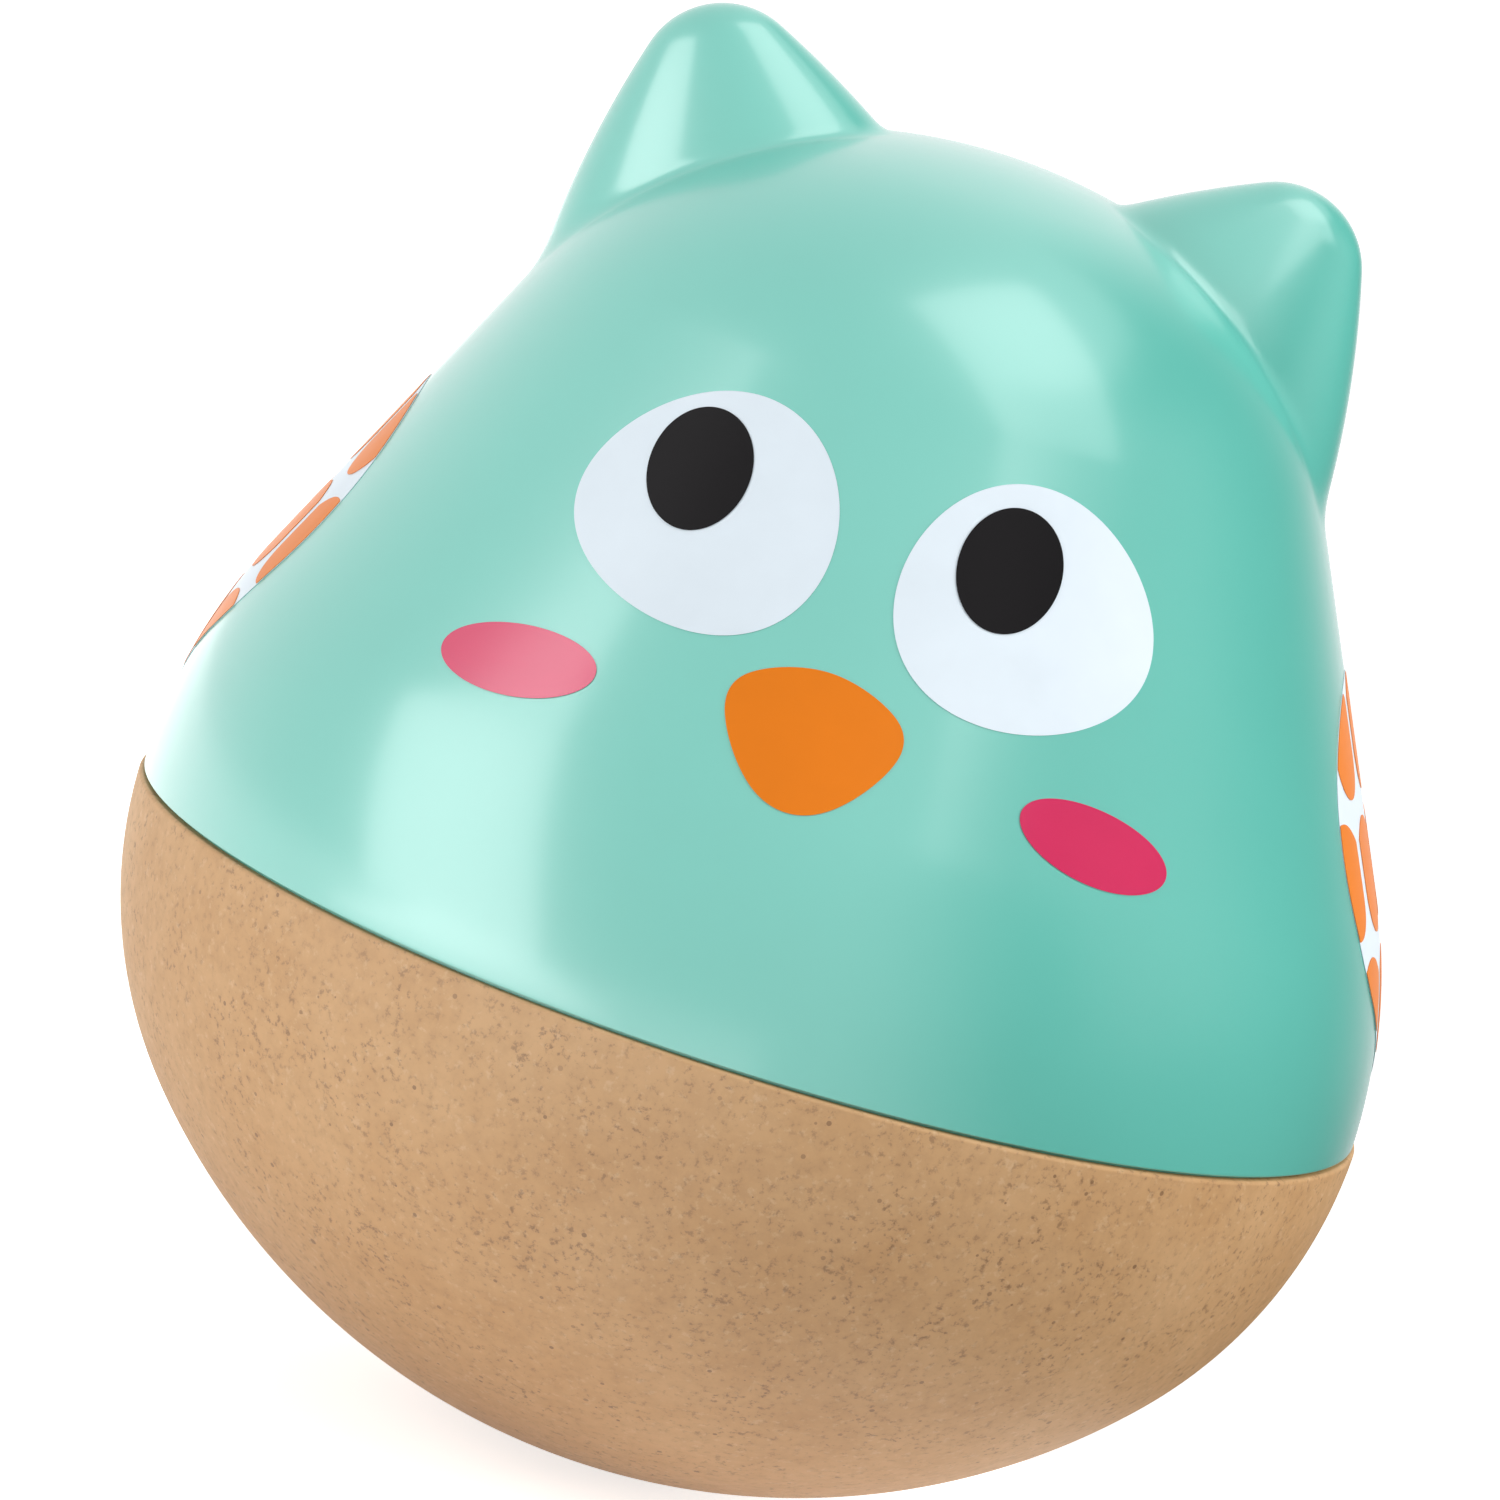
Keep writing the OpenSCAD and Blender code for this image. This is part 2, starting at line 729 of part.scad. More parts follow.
module wing_orange(side) {
    color(orange)
        film(second_film)
            mirror([side, 0, 0])
                through_side()
                    translate([0, seam_z + wing_h])
                        intersection() {
                            wing_outline();
                            feathers();
                        }
}

base_shell();
base_weight();
weight_washers();
weight_screws();
chime_deck();
deck_screws();
plate_grommets();
chime_plate();
plate_screws();
chime_rod(0);  // chime_rod_1
chime_rod(1);  // chime_rod_2
chime_rod(2);  // chime_rod_3
chime_rod(3);  // chime_rod_4
chime_rod(4);  // chime_rod_5
chime_rod(5);  // chime_rod_6
chime_rod(6);  // chime_rod_7
chime_rod(7);  // chime_rod_8
clapper_bridge();
bridge_screws();
bridge_pin();
gimbal_link();
link_pin();
clapper_stem();
clapper_bob();
upper_shell();
eye_white(1);  // eye_white_left
eye_white(0);  // eye_white_right
pupil(-pupil_x);  // pupil_left
pupil(pupil_x);  // pupil_right
beak();
cheek(1);  // cheek_left
cheek(0);  // cheek_right
wing_white(1);  // wing_left_white
wing_orange(1);  // wing_left_orange
wing_white(0);  // wing_right_white
wing_orange(0);  // wing_right_orange
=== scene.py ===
import json
import math
import bpy
import numpy as np
from mathutils import Matrix, Vector


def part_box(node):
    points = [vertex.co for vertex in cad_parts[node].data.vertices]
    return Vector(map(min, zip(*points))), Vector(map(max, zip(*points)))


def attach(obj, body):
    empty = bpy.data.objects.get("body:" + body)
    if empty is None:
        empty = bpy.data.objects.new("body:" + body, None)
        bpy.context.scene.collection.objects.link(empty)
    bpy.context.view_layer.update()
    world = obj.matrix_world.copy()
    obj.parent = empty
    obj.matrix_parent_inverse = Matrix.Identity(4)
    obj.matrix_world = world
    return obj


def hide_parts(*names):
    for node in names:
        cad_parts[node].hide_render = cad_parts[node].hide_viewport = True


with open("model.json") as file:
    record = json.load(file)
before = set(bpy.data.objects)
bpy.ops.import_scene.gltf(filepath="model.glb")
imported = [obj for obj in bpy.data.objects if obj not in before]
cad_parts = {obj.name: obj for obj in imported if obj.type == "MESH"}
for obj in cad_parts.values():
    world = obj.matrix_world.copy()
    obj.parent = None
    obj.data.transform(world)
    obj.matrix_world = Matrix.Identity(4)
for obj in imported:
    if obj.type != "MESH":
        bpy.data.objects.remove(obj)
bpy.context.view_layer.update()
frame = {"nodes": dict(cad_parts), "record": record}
mm = 0.001
print("frame loaded:", len(frame["nodes"]), "nodes")

# heights and radii that the pieces share, read from the frame
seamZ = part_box("base_shell")[1].z
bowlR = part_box("base_shell")[1].x
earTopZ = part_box("upper_shell")[1].z
# points nearer than this are one point, and edges bent by more than this stay sharp
weld = 0.002 * mm
creaseAngle = 0.7


# node trees

def newTree(name, inputs):
    tree = bpy.data.node_groups.new(name, "GeometryNodeTree")
    tree.interface.new_socket("Geometry", in_out="INPUT", socket_type="NodeSocketGeometry")
    for label, kind in inputs.items():
        tree.interface.new_socket(label, in_out="INPUT", socket_type="NodeSocket" + kind)
    tree.interface.new_socket("Geometry", in_out="OUTPUT", socket_type="NodeSocketGeometry")
    start = tree.nodes.new("NodeGroupInput")
    return tree, start.outputs


def put(tree, kind, values, **settings):
    node = tree.nodes.new(kind)
    for key, value in settings.items():
        setattr(node, key, value)
    for slot, value in values.items():
        if isinstance(value, bpy.types.NodeSocket):
            tree.links.new(value, node.inputs[slot])
        else:
            node.inputs[slot].default_value = value
    return node.outputs


def calc(tree, operation, *values):
    return put(tree, "ShaderNodeMath", dict(enumerate(values)), operation=operation)[0]


def join(tree, *parts):
    node = tree.nodes.new("GeometryNodeJoinGeometry")
    for part in parts:
        tree.links.new(part, node.inputs[0])
    return node.outputs[0]


def endTree(tree, geometry, material):
    whole = put(tree, "GeometryNodeRealizeInstances", {0: geometry})[0]
    smooth = put(tree, "GeometryNodeSetShadeSmooth", {"Geometry": whole})[0]
    bend = put(tree, "GeometryNodeInputMeshEdgeAngle", {})["Unsigned Angle"]
    sharp = calc(tree, "GREATER_THAN", bend, creaseAngle)
    hard = {"Geometry": smooth, "Selection": sharp, "Shade Smooth": False}
    creased = put(tree, "GeometryNodeSetShadeSmooth", hard, domain="EDGE")[0]
    painted = put(tree, "GeometryNodeSetMaterial", {"Geometry": creased, "Material": material})[0]
    tree.links.new(painted, tree.nodes.new("NodeGroupOutput").inputs[0])


def addObject(name, data):
    item = bpy.data.objects.new(name, data)
    bpy.context.scene.collection.objects.link(item)
    return item


def grow(name, mesh, tree, values):
    # runs a tree on a mesh and keeps the result as a plain mesh
    raw = addObject(name + "Raw", mesh)
    modifier = raw.modifiers.new("rule", "NODES")
    modifier.node_group = tree
    ids = {s.name: s.identifier for s in tree.interface.items_tree if s.in_out == "INPUT"}
    for label, value in values.items():
        modifier[ids[label]] = value
    graph = bpy.context.evaluated_depsgraph_get()
    result = bpy.data.meshes.new_from_object(raw.evaluated_get(graph), depsgraph=graph)
    bpy.data.objects.remove(raw)
    return addObject(name, result)


def lineMesh(name, points, sides):
    # a profile in the XZ plane, each point marked with the side of the wall it lies on
    mesh = bpy.data.meshes.new(name)
    steps = [(i, i + 1) for i in range(len(points) - 1)]
    mesh.from_pydata([(r, 0, z) for r, z in points], steps, [])
    mark = mesh.attributes.new("side", "FLOAT", "POINT")
    mark.data.foreach_set("value", sides)
    return mesh


def turnedTree():
    # turns a profile about Z into a closed skin of rounds by rows
    tree, given = newTree("turnedSkin", {"Rounds": "Int", "Crowding": "Float", "Material": "Material"})
    rows = put(tree, "GeometryNodeAttributeDomainSize", {0: given["Geometry"]}, component="MESH")[0]
    sides = calc(tree, "ADD", given["Rounds"], 1)
    grid = put(tree, "GeometryNodeMeshGrid", {"Vertices X": sides, "Vertices Y": rows})[0]
    index = put(tree, "GeometryNodeInputIndex", {})[0]
    row = calc(tree, "MODULO", index, rows)
    column = calc(tree, "FLOOR", calc(tree, "DIVIDE", index, rows))
    place = put(tree, "GeometryNodeInputPosition", {})[0]
    sample = {"Geometry": given["Geometry"], "Value": place, "Index": row}
    point = put(tree, "GeometryNodeSampleIndex", sample, data_type="FLOAT_VECTOR", domain="POINT")[0]
    side = put(tree, "GeometryNodeInputNamedAttribute", {"Name": "side"}, data_type="FLOAT")[0]
    sample = {"Geometry": given["Geometry"], "Value": side, "Index": row}
    mark = put(tree, "GeometryNodeSampleIndex", sample, data_type="FLOAT", domain="POINT")[0]
    marked = {"Geometry": grid, "Name": "side", "Value": mark}
    grid = put(tree, "GeometryNodeStoreNamedAttribute", marked, data_type="FLOAT", domain="POINT")[0]
    # rounds crowd towards the two sides, where the ears are
    turn = calc(tree, "MULTIPLY", calc(tree, "DIVIDE", column, given["Rounds"]), 2 * math.pi)
    swing = calc(tree, "SINE", calc(tree, "MULTIPLY", turn, 2))
    crowd = calc(tree, "DIVIDE", given["Crowding"], 2)
    turn = calc(tree, "SUBTRACT", turn, calc(tree, "MULTIPLY", swing, crowd))
    spot = put(tree, "ShaderNodeSeparateXYZ", {0: point})
    x = calc(tree, "MULTIPLY", spot["X"], calc(tree, "COSINE", turn))
    y = calc(tree, "MULTIPLY", spot["X"], calc(tree, "SINE", turn))
    target = put(tree, "ShaderNodeCombineXYZ", {0: x, 1: y, 2: spot["Z"]})[0]
    skin = put(tree, "GeometryNodeSetPosition", {"Geometry": grid, "Position": target})[0]
    skin = put(tree, "GeometryNodeMergeByDistance", {"Geometry": skin, "Distance": weld})[0]
    endTree(tree, skin, given["Material"])
    return tree


# outlines

def arcLine(centre, radius, start, end, step):
    count = max(2, math.ceil(abs(end - start) * radius / step) + 1)
    angles = np.linspace(start, end, count)
    return np.stack([centre[0] + radius * np.cos(angles), centre[1] + radius * np.sin(angles)], 1)


def straightLine(start, end, step):
    count = max(2, math.ceil(math.dist(start, end) / step) + 1)
    return np.linspace(start, end, count)


def strung(*lines):
    # joins lines into one, without doubled points
    points = np.concatenate(lines)
    gap = np.linalg.norm(np.diff(points, axis=0), axis=1)
    return points[np.concatenate([[True], gap > 1e-7])]


def roundHull(circles, soft, count):
    # the outline of a band pulled round some circles; soft makes its sides bulge
    angles = np.linspace(0, 2 * math.pi, count, endpoint=False)
    out = np.stack([np.cos(angles), np.sin(angles)], 1)
    along = np.stack([-np.sin(angles), np.cos(angles)], 1)
    centres, radii = np.array(circles)[:, :2], np.array(circles)[:, 2]
    reach = out @ centres.T + radii
    top = reach.max(axis=1, keepdims=True)
    share = np.exp((reach - top) / soft)
    far = top[:, 0] + soft * np.log(share.sum(axis=1))
    slide = (share * (along @ centres.T)).sum(axis=1) / share.sum(axis=1)
    outline = far[:, None] * out + slide[:, None] * along
    # evenly spaced points, so that the straight runs bend with the dome too
    closed = np.concatenate([outline, outline[:1]])
    run = np.concatenate([[0], np.cumsum(np.linalg.norm(np.diff(closed, axis=0), axis=1))])
    stops = np.linspace(0, run[-1], count, endpoint=False)
    return np.stack([np.interp(stops, run, closed[:, k]) for k in (0, 1)], 1)


def oval(centre, width, height, tilt, taper, count):
    # an oval that narrows towards one end where taper isn't 0
    angles = np.linspace(0, 2 * math.pi, count, endpoint=False)
    x = width / 2 * np.cos(angles)
    y = height / 2 * np.sin(angles) * (1 + taper * np.cos(angles))
    c, s = math.cos(tilt), math.sin(tilt)
    return np.stack([centre[0] + x * c - y * s, centre[1] + x * s + y * c], 1)


def mirrored(outline, sign):
    # the same outline for the left or the right side, still anticlockwise
    return outline if sign > 0 else (outline * np.array([-1, 1]))[::-1]


# materials

def newMaterial(name):
    material = bpy.data.materials.new(name)
    material.use_nodes = True
    tree = material.node_tree
    shader = tree.nodes["Principled BSDF"]
    where = put(tree, "ShaderNodeTexCoord", {})["Object"]
    return material, tree, shader.inputs, where


def noise(tree, where, scale, detail=2.0, rough=0.5):
    values = {"Vector": where, "Scale": scale, "Detail": detail, "Roughness": rough}
    return put(tree, "ShaderNodeTexNoise", values)["Fac"]


def span(tree, value, low, high, fromLow=0.0, fromHigh=1.0, kind="LINEAR"):
    values = {"Value": value, 1: fromLow, 2: fromHigh, 3: low, 4: high}
    return put(tree, "ShaderNodeMapRange", values, interpolation_type=kind)[0]


def swungRough(tree, value, look):
    # roughness that swings about the look's own by the given shares
    low, high = look["roughSwing"]
    return span(tree, value, look["rough"] * low, look["rough"] * high)


def tinted(colour, share):
    return [c * share for c in colour] + [1]


def blendColour(tree, amount, first, second):
    values = {"Factor": amount, 6: first, 7: second}
    return put(tree, "ShaderNodeMix", values, data_type="RGBA")[2]


def bump(tree, height, distance):
    values = {"Height": height, "Distance": distance, "Strength": 1.0}
    return put(tree, "ShaderNodeBump", values)["Normal"]


def wire(tree, value, socket):
    tree.links.new(value, socket)


def plasticMaterial(look):
    # moulded plastic: faint clouding of the colour and the gloss
    material, tree, shader, where = newMaterial(look["name"])
    cloud = noise(tree, where, look["cloudScale"], 3.0)
    low = tinted(look["colour"], 1 - look["cloud"])
    high = tinted(look["colour"], 1 + look["cloud"])
    wire(tree, blendColour(tree, span(tree, cloud, 0, 1), low, high), shader["Base Color"])
    smear = noise(tree, where, look["cloudScale"] * 4, 4.0)
    wire(tree, swungRough(tree, smear, look), shader["Roughness"])
    shader["Specular IOR Level"].default_value = look["specular"]
    shader["Coat Weight"].default_value = look["coat"]
    shader["Coat Roughness"].default_value = look["coatRough"]
    shader["Coat IOR"].default_value = look["coatIor"]
    return material


def grainMaterial(look):
    # metal, rubber and plain pieces inside: grain along Z, worn gloss, and a fine relief
    material, tree, shader, where = newMaterial(look["name"])
    stretched = put(tree, "ShaderNodeMapping", {"Vector": where, "Scale": look["stretch"]})[0]
    grain = noise(tree, stretched, look["grainScale"], 4.0)
    low = tinted(look["colour"], look["dark"])
    high = tinted(look["colour"], look["pale"])
    wire(tree, blendColour(tree, span(tree, grain, 0, 1), low, high), shader["Base Color"])
    wire(tree, swungRough(tree, grain, look), shader["Roughness"])
    wire(tree, bump(tree, grain, look["relief"]), shader["Normal"])
    shader["Metallic"].default_value = look["metal"]
    return material


def fibreMaterial(look):
    # pressed wood fibre: soft mottling, short grain, dark and pale flecks, a dry surface
    material, tree, shader, where = newMaterial(look["name"])
    mottle = span(tree, noise(tree, where, look["mottleScale"], 4.0, 0.6), 0, 1, *look["mottleSpan"])
    colour = blendColour(tree, mottle, look["deep"], look["pale"])
    grain = noise(tree, where, look["grainScale"], 6.0, 0.65)
    shade = span(tree, grain, 0, look["grain"], *look["grainSpan"])
    colour = blendColour(tree, shade, colour, look["fleckDark"])
    # short dark and pale fibres, thicker in some places than in others
    crowd = noise(tree, where, look["crowdScale"], 3.0)
    crowd = span(tree, crowd, look["crowdLeast"], 1.0, *look["crowdSpan"])
    fibres = noise(tree, where, look["fibreScale"], 4.0, 0.7)
    fibres = span(tree, fibres, 0, look["fibre"], *look["fibreSpan"])
    colour = blendColour(tree, calc(tree, "MULTIPLY", fibres, crowd), colour, look["fleckDark"])
    pale = noise(tree, where, look["paleScale"], 4.0, 0.7)
    pale = span(tree, pale, look["paleFibre"], 0, *look["paleSpan"])
    colour = blendColour(tree, pale, colour, look["fleckPale"])
    # round dark flecks in some of the cells, each with its own size and depth
    for scale, share, size in look["flecks"]:
        cells = put(tree, "ShaderNodeTexVoronoi", {"Vector": where, "Scale": scale})
        pick = put(tree, "ShaderNodeSeparateColor", {0: cells["Color"]})
        chosen = calc(tree, "LESS_THAN", pick["Red"], share)
        reach = calc(tree, "MULTIPLY", pick["Green"], size)
        dot = calc(tree, "MULTIPLY", chosen, calc(tree, "LESS_THAN", cells["Distance"], reach))
        depth = span(tree, pick["Blue"], *look["fleckDepth"])
        mark = calc(tree, "MULTIPLY", dot, depth)
        colour = blendColour(tree, mark, colour, look["fleckDark"])
    wire(tree, colour, shader["Base Color"])
    wire(tree, swungRough(tree, grain, look), shader["Roughness"])
    wire(tree, bump(tree, grain, look["relief"]), shader["Normal"])
    shader["Specular IOR Level"].default_value = look["specular"]
    return material


mintLook = {
    "name": "mintShell", "colour": (0.125, 0.562, 0.468), "cloud": 0.04, "cloudScale": 45, "rough": 0.34,
    "roughSwing": (0.9, 1.1), "specular": 1.0, "coat": 1.0, "coatRough": 0.17, "coatIor": 1.75,
}
fibreLook = {
    "name": "woodFibre", "deep": (0.56, 0.313, 0.131, 1), "pale": (0.63, 0.377, 0.177, 1),
    "mottleScale": 80, "mottleSpan": (0.32, 0.68), "grainScale": 700, "grain": 0.2, "grainSpan": (0.4, 0.75),
    "fleckDark": (0.19, 0.09, 0.036, 1), "fleckPale": (0.80, 0.60, 0.38, 1),
    "crowdScale": 130, "crowdLeast": 0.25, "crowdSpan": (0.38, 0.62),
    "fibreScale": 1400, "fibre": 0.7, "fibreSpan": (0.56, 0.66),
    "paleScale": 1120, "paleFibre": 0.245, "paleSpan": (0.33, 0.43),
    "flecks": [(520, 0.12, 0.17), (1000, 0.22, 0.24)], "fleckDepth": (0.25, 0.8),
    "rough": 0.62, "roughSwing": (0.92, 1.1), "relief": 0.012 * mm, "specular": 0.9,
}
printLooks = {
    "white": {"name": "printWhite", "colour": (0.77, 0.86, 0.93), "specular": 0.3},
    "black": {"name": "printBlack", "colour": (0.008, 0.007, 0.008), "specular": 0.12},
    "orange": {"name": "printOrange", "colour": (0.82, 0.21, 0.008), "specular": 0.2},
    "pink": {"name": "printPink", "colour": (0.67, 0.008, 0.10), "specular": 0.3, "coat": 1.0,
             "coatRough": 0.17, "coatIor": 1.75},
}
printFinish = {
    "cloud": 0.05, "cloudScale": 160, "rough": 0.34, "roughSwing": (0.9, 1.1),
    "coat": 0.0, "coatRough": 0.1, "coatIor": 1.5,
}
innerFinish = {"dark": 0.86, "pale": 1.08, "roughSwing": (0.8, 1.25)}
innerLooks = {
    "weight_iron": {"name": "castIron", "colour": (0.16, 0.16, 0.17), "stretch": (1, 1, 1),
                    "grainScale": 900, "rough": 0.6, "relief": 0.05 * mm, "metal": 1.0},
    "steel": {"name": "platedSteel", "colour": (0.62, 0.63, 0.65), "stretch": (1, 1, 0.2),
              "grainScale": 1500, "rough": 0.3, "relief": 0.004 * mm, "metal": 1.0},
    "chime_steel": {"name": "drawnSteel", "colour": (0.7, 0.71, 0.73), "stretch": (1, 1, 0.05),
                    "grainScale": 1800, "rough": 0.22, "relief": 0.003 * mm, "metal": 1.0},
    "grommet_rubber": {"name": "softRubber", "colour": (0.03, 0.03, 0.03), "stretch": (1, 1, 1),
                       "grainScale": 1200, "rough": 0.75, "relief": 0.01 * mm, "metal": 0.0},
    "inner_plastic": {"name": "innerPlastic", "colour": (0.8, 0.77, 0.68), "stretch": (1, 1, 1),
                      "grainScale": 600, "rough": 0.5, "relief": 0.004 * mm, "metal": 0.0},
    "bob_wood": {"name": "bobWood", "colour": (0.62, 0.43, 0.25), "stretch": (1, 1, 0.12), "grainScale": 700,
                 "rough": 0.55, "relief": 0.02 * mm, "metal": 0.0},
}

mint = plasticMaterial(mintLook)
fibre = fibreMaterial(fibreLook)
prints = {key: plasticMaterial({**printFinish, **look}) for key, look in printLooks.items()}
inner = {key: grainMaterial({**innerFinish, **look}) for key, look in innerLooks.items()}
slotOf = {s["node"]: s["material_slot"] for s in frame["record"]["subparts"]}
for name, node in frame["nodes"].items():
    if slotOf[name] in inner:
        node.data.materials.clear()
        node.data.materials.append(inner[slotOf[name]])
print("materials made")

turned = turnedTree()


# the bowl

bowl = {
    "rimR": 39 * mm, "soleAt": 60.3302 * mm, "soleR": 60.4627 * mm, "foot": 8 * mm, "edge": 0.35 * mm,
    "socketR": 52.3 * mm, "socketL": 6.2 * mm, "lead": 0.2 * mm, "wall": 3 * mm, "rounds": 288,
    "step": 0.8 * mm, "fineFrom": -0.06, "fineStep": 0.2 * mm, "fineTo": 1.4, "edgeStep": 0.06 * mm,
    "postSides": 48, "postSink": 0.3 * mm, "postFoot": 0.1 * mm,
}
rimC = bowlR - bowl["rimR"]
leave = math.atan2(seamZ - bowl["soleAt"], rimC)
footR = bowl["foot"] / 2
footAngle = -math.acos(footR / bowl["soleR"])
edgeC = (bowlR - bowl["edge"], seamZ - bowl["edge"])
inSole = bowl["soleR"] - bowl["wall"]
inRim = bowl["rimR"] - bowl["wall"]
socketZ = seamZ - bowl["socketL"]
socketAngle = -math.asin(bowl["socketL"] / inRim)
leadZ = seamZ - bowl["lead"]
fineEnd = -bowl["fineTo"] * bowl["edge"] / bowl["rimR"]
bowlOut = strung(
    straightLine((0, 0), (footR, 0), bowl["step"]),
    arcLine((0, bowl["soleAt"]), bowl["soleR"], footAngle, leave, bowl["step"]),
    arcLine((rimC, seamZ), bowl["rimR"], leave, bowl["fineFrom"], bowl["step"]),
    arcLine((rimC, seamZ), bowl["rimR"], bowl["fineFrom"], fineEnd, bowl["fineStep"]),
    arcLine(edgeC, bowl["edge"], 0, math.pi / 2, bowl["edgeStep"]),
)
bowlIn = strung(
    straightLine((bowl["socketR"] + bowl["lead"], seamZ), (bowl["socketR"], leadZ), bowl["step"]),
    straightLine((bowl["socketR"], leadZ), (bowl["socketR"], socketZ), bowl["step"]),
    arcLine((rimC, seamZ), inRim, socketAngle, leave, 2 * bowl["step"]),
    arcLine((0, bowl["soleAt"]), inSole, leave, -math.pi / 2, 2 * bowl["step"]),
)
bowlLine = strung(bowlOut, bowlIn)
bowlLine[:, 0] = np.maximum(bowlLine[:, 0], 0)
base = grow(
    "bowl", lineMesh("bowlLine", bowlLine, np.zeros(len(bowlLine))), turned,
    {"Rounds": bowl["rounds"], "Crowding": 0.0, "Material": fibre},
)
posts = {"count": 4, "ring": 36.05 * mm, "wide": 8 * mm, "top": 25.6675 * mm, "turn": 0.0}
bosses = {"count": 3, "ring": 20.05 * mm, "wide": 7 * mm, "top": 16.6675 * mm, "turn": math.radians(30)}


def postTree():
    # a ring of posts that stand on the bowl's inner sole, joined to the bowl
    sizes = ("Ring", "Wide", "Top", "Turn", "Sole Height", "Sole Radius")
    inputs = {"Count": "Int", **{key: "Float" for key in sizes}, "Material": "Material"}
    tree, given = newTree("postRing", inputs)
    index = put(tree, "GeometryNodeInputIndex", {})[0]
    turn = calc(tree, "MULTIPLY", calc(tree, "DIVIDE", index, given["Count"]), 2 * math.pi)
    turn = calc(tree, "ADD", turn, given["Turn"])
    x = calc(tree, "MULTIPLY", given["Ring"], calc(tree, "COSINE", turn))
    y = calc(tree, "MULTIPLY", given["Ring"], calc(tree, "SINE", turn))
    half = calc(tree, "DIVIDE", given["Top"], 2)
    middle = put(tree, "ShaderNodeCombineXYZ", {0: x, 1: y, 2: half})[0]
    spots = put(tree, "GeometryNodePoints", {"Count": given["Count"], "Position": middle})[0]
    radius = calc(tree, "DIVIDE", given["Wide"], 2)
    shape = {"Vertices": bowl["postSides"], "Radius": radius, "Depth": given["Top"]}
    post = put(tree, "GeometryNodeMeshCylinder", shape, fill_type="TRIANGLE_FAN")[0]
    ring = put(tree, "GeometryNodeInstanceOnPoints", {"Points": spots, "Instance": post})[0]
    ring = put(tree, "GeometryNodeRealizeInstances", {0: ring})[0]
    # lower ends follow the round sole
    spot = put(tree, "ShaderNodeSeparateXYZ", {0: put(tree, "GeometryNodeInputPosition", {})[0]})
    across = calc(tree, "MULTIPLY", spot["X"], spot["X"])
    along = calc(tree, "MULTIPLY", spot["Y"], spot["Y"])
    out = calc(tree, "ADD", across, along)
    deep = calc(tree, "SUBTRACT", calc(tree, "MULTIPLY", given["Sole Radius"], given["Sole Radius"]), out)
    sole = calc(tree, "SUBTRACT", given["Sole Height"], calc(tree, "SQRT", deep))
    target = put(tree, "ShaderNodeCombineXYZ", {0: spot["X"], 1: spot["Y"], 2: sole})[0]
    low = calc(tree, "LESS_THAN", spot["Z"], bowl["postFoot"])
    ring = put(tree, "GeometryNodeSetPosition", {"Geometry": ring, "Selection": low, "Position": target})[0]
    endTree(tree, join(tree, given["Geometry"], ring), given["Material"])
    return tree


postRule = postTree()
for kind in (posts, bosses):
    values = {
        "Count": kind["count"], "Ring": kind["ring"], "Wide": kind["wide"], "Top": kind["top"],
        "Turn": kind["turn"], "Sole Height": bowl["soleAt"], "Sole Radius": inSole + bowl["postSink"],
        "Material": fibre,
    }
    mesh = base.data
    bpy.data.objects.remove(base)
    base = grow("bowl", mesh, postRule, values)
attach(base, "root")
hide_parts("base_shell")
print("bowl:", len(base.data.polygons), "faces")


# the dome with its ears

dome = {
    "rimStep": 0.3 * mm, "flankR": 48.5 * mm, "flankLean": math.radians(25.8), "flankL": 36 * mm,
    "shoulderR": 32 * mm, "crownFrom": math.radians(72.8), "wall": 2.4 * mm, "grooveD": 0.7 * mm,
    "grooveH": 0.3 * mm, "edge": 0.12 * mm, "spigotR": 52.2 * mm, "spigotWall": 1.8 * mm, "spigotL": 6 * mm,
    "tuck": 0.02 * mm, "rounds": 352, "crowding": 0.6, "fine": 0.4 * mm, "coarse": 1.1 * mm,
    "closeRun": 0.03, "fineFrom": 0.45, "capR": 6 * mm, "inFine": 4, "inCoarse": 2.2,
    "footStep": 1 * mm, "grooveStep": 0.2 * mm, "edgeStep": 0.04 * mm,
}
ear = {
    "tipR": 7.5 * mm, "lean": math.radians(25.2), "out": 24.85 * mm, "flat": 0.65, "sideR": 90 * mm,
    "open": math.radians(41), "fillet": 1.0 * mm, "inFillet": 0.4 * mm, "cone": math.radians(35),
}
domeR = bowlR - dome["rimStep"]


def way(angle):
    return np.array([math.cos(angle), math.sin(angle)])


def domeLine(d, coarse, fine, start):
    # the dome's side from the seam to the crown, moved out by d
    lean = dome["flankLean"]
    flankC = np.array([domeR - dome["flankR"], seamZ])
    along = np.array([-math.sin(lean), math.cos(lean)])
    shoulderC = flankC + (dome["flankR"] - dome["shoulderR"]) * way(lean) + dome["flankL"] * along
    crownR = dome["shoulderR"] + shoulderC[0] / math.cos(dome["crownFrom"])
    crownC = shoulderC - (crownR - dome["shoulderR"]) * way(dome["crownFrom"])
    low = flankC + (dome["flankR"] + d) * way(lean)
    high = shoulderC + (dome["shoulderR"] + d) * way(lean)
    middle = low + dome["fineFrom"] * (high - low)
    inside = math.acos(dome["capR"] / crownR)
    close = start + dome["closeRun"]
    return strung(
        arcLine(flankC, dome["flankR"] + d, start, close, 0.5 * fine),
        arcLine(flankC, dome["flankR"] + d, close, lean, coarse),
        straightLine(low, middle, coarse),
        straightLine(middle, high, fine),
        arcLine(shoulderC, dome["shoulderR"] + d, lean, dome["crownFrom"], fine),
        arcLine(crownC, crownR + d, dome["crownFrom"], inside, fine),
        arcLine(crownC, crownR + d, inside, math.pi / 2, coarse),
    )


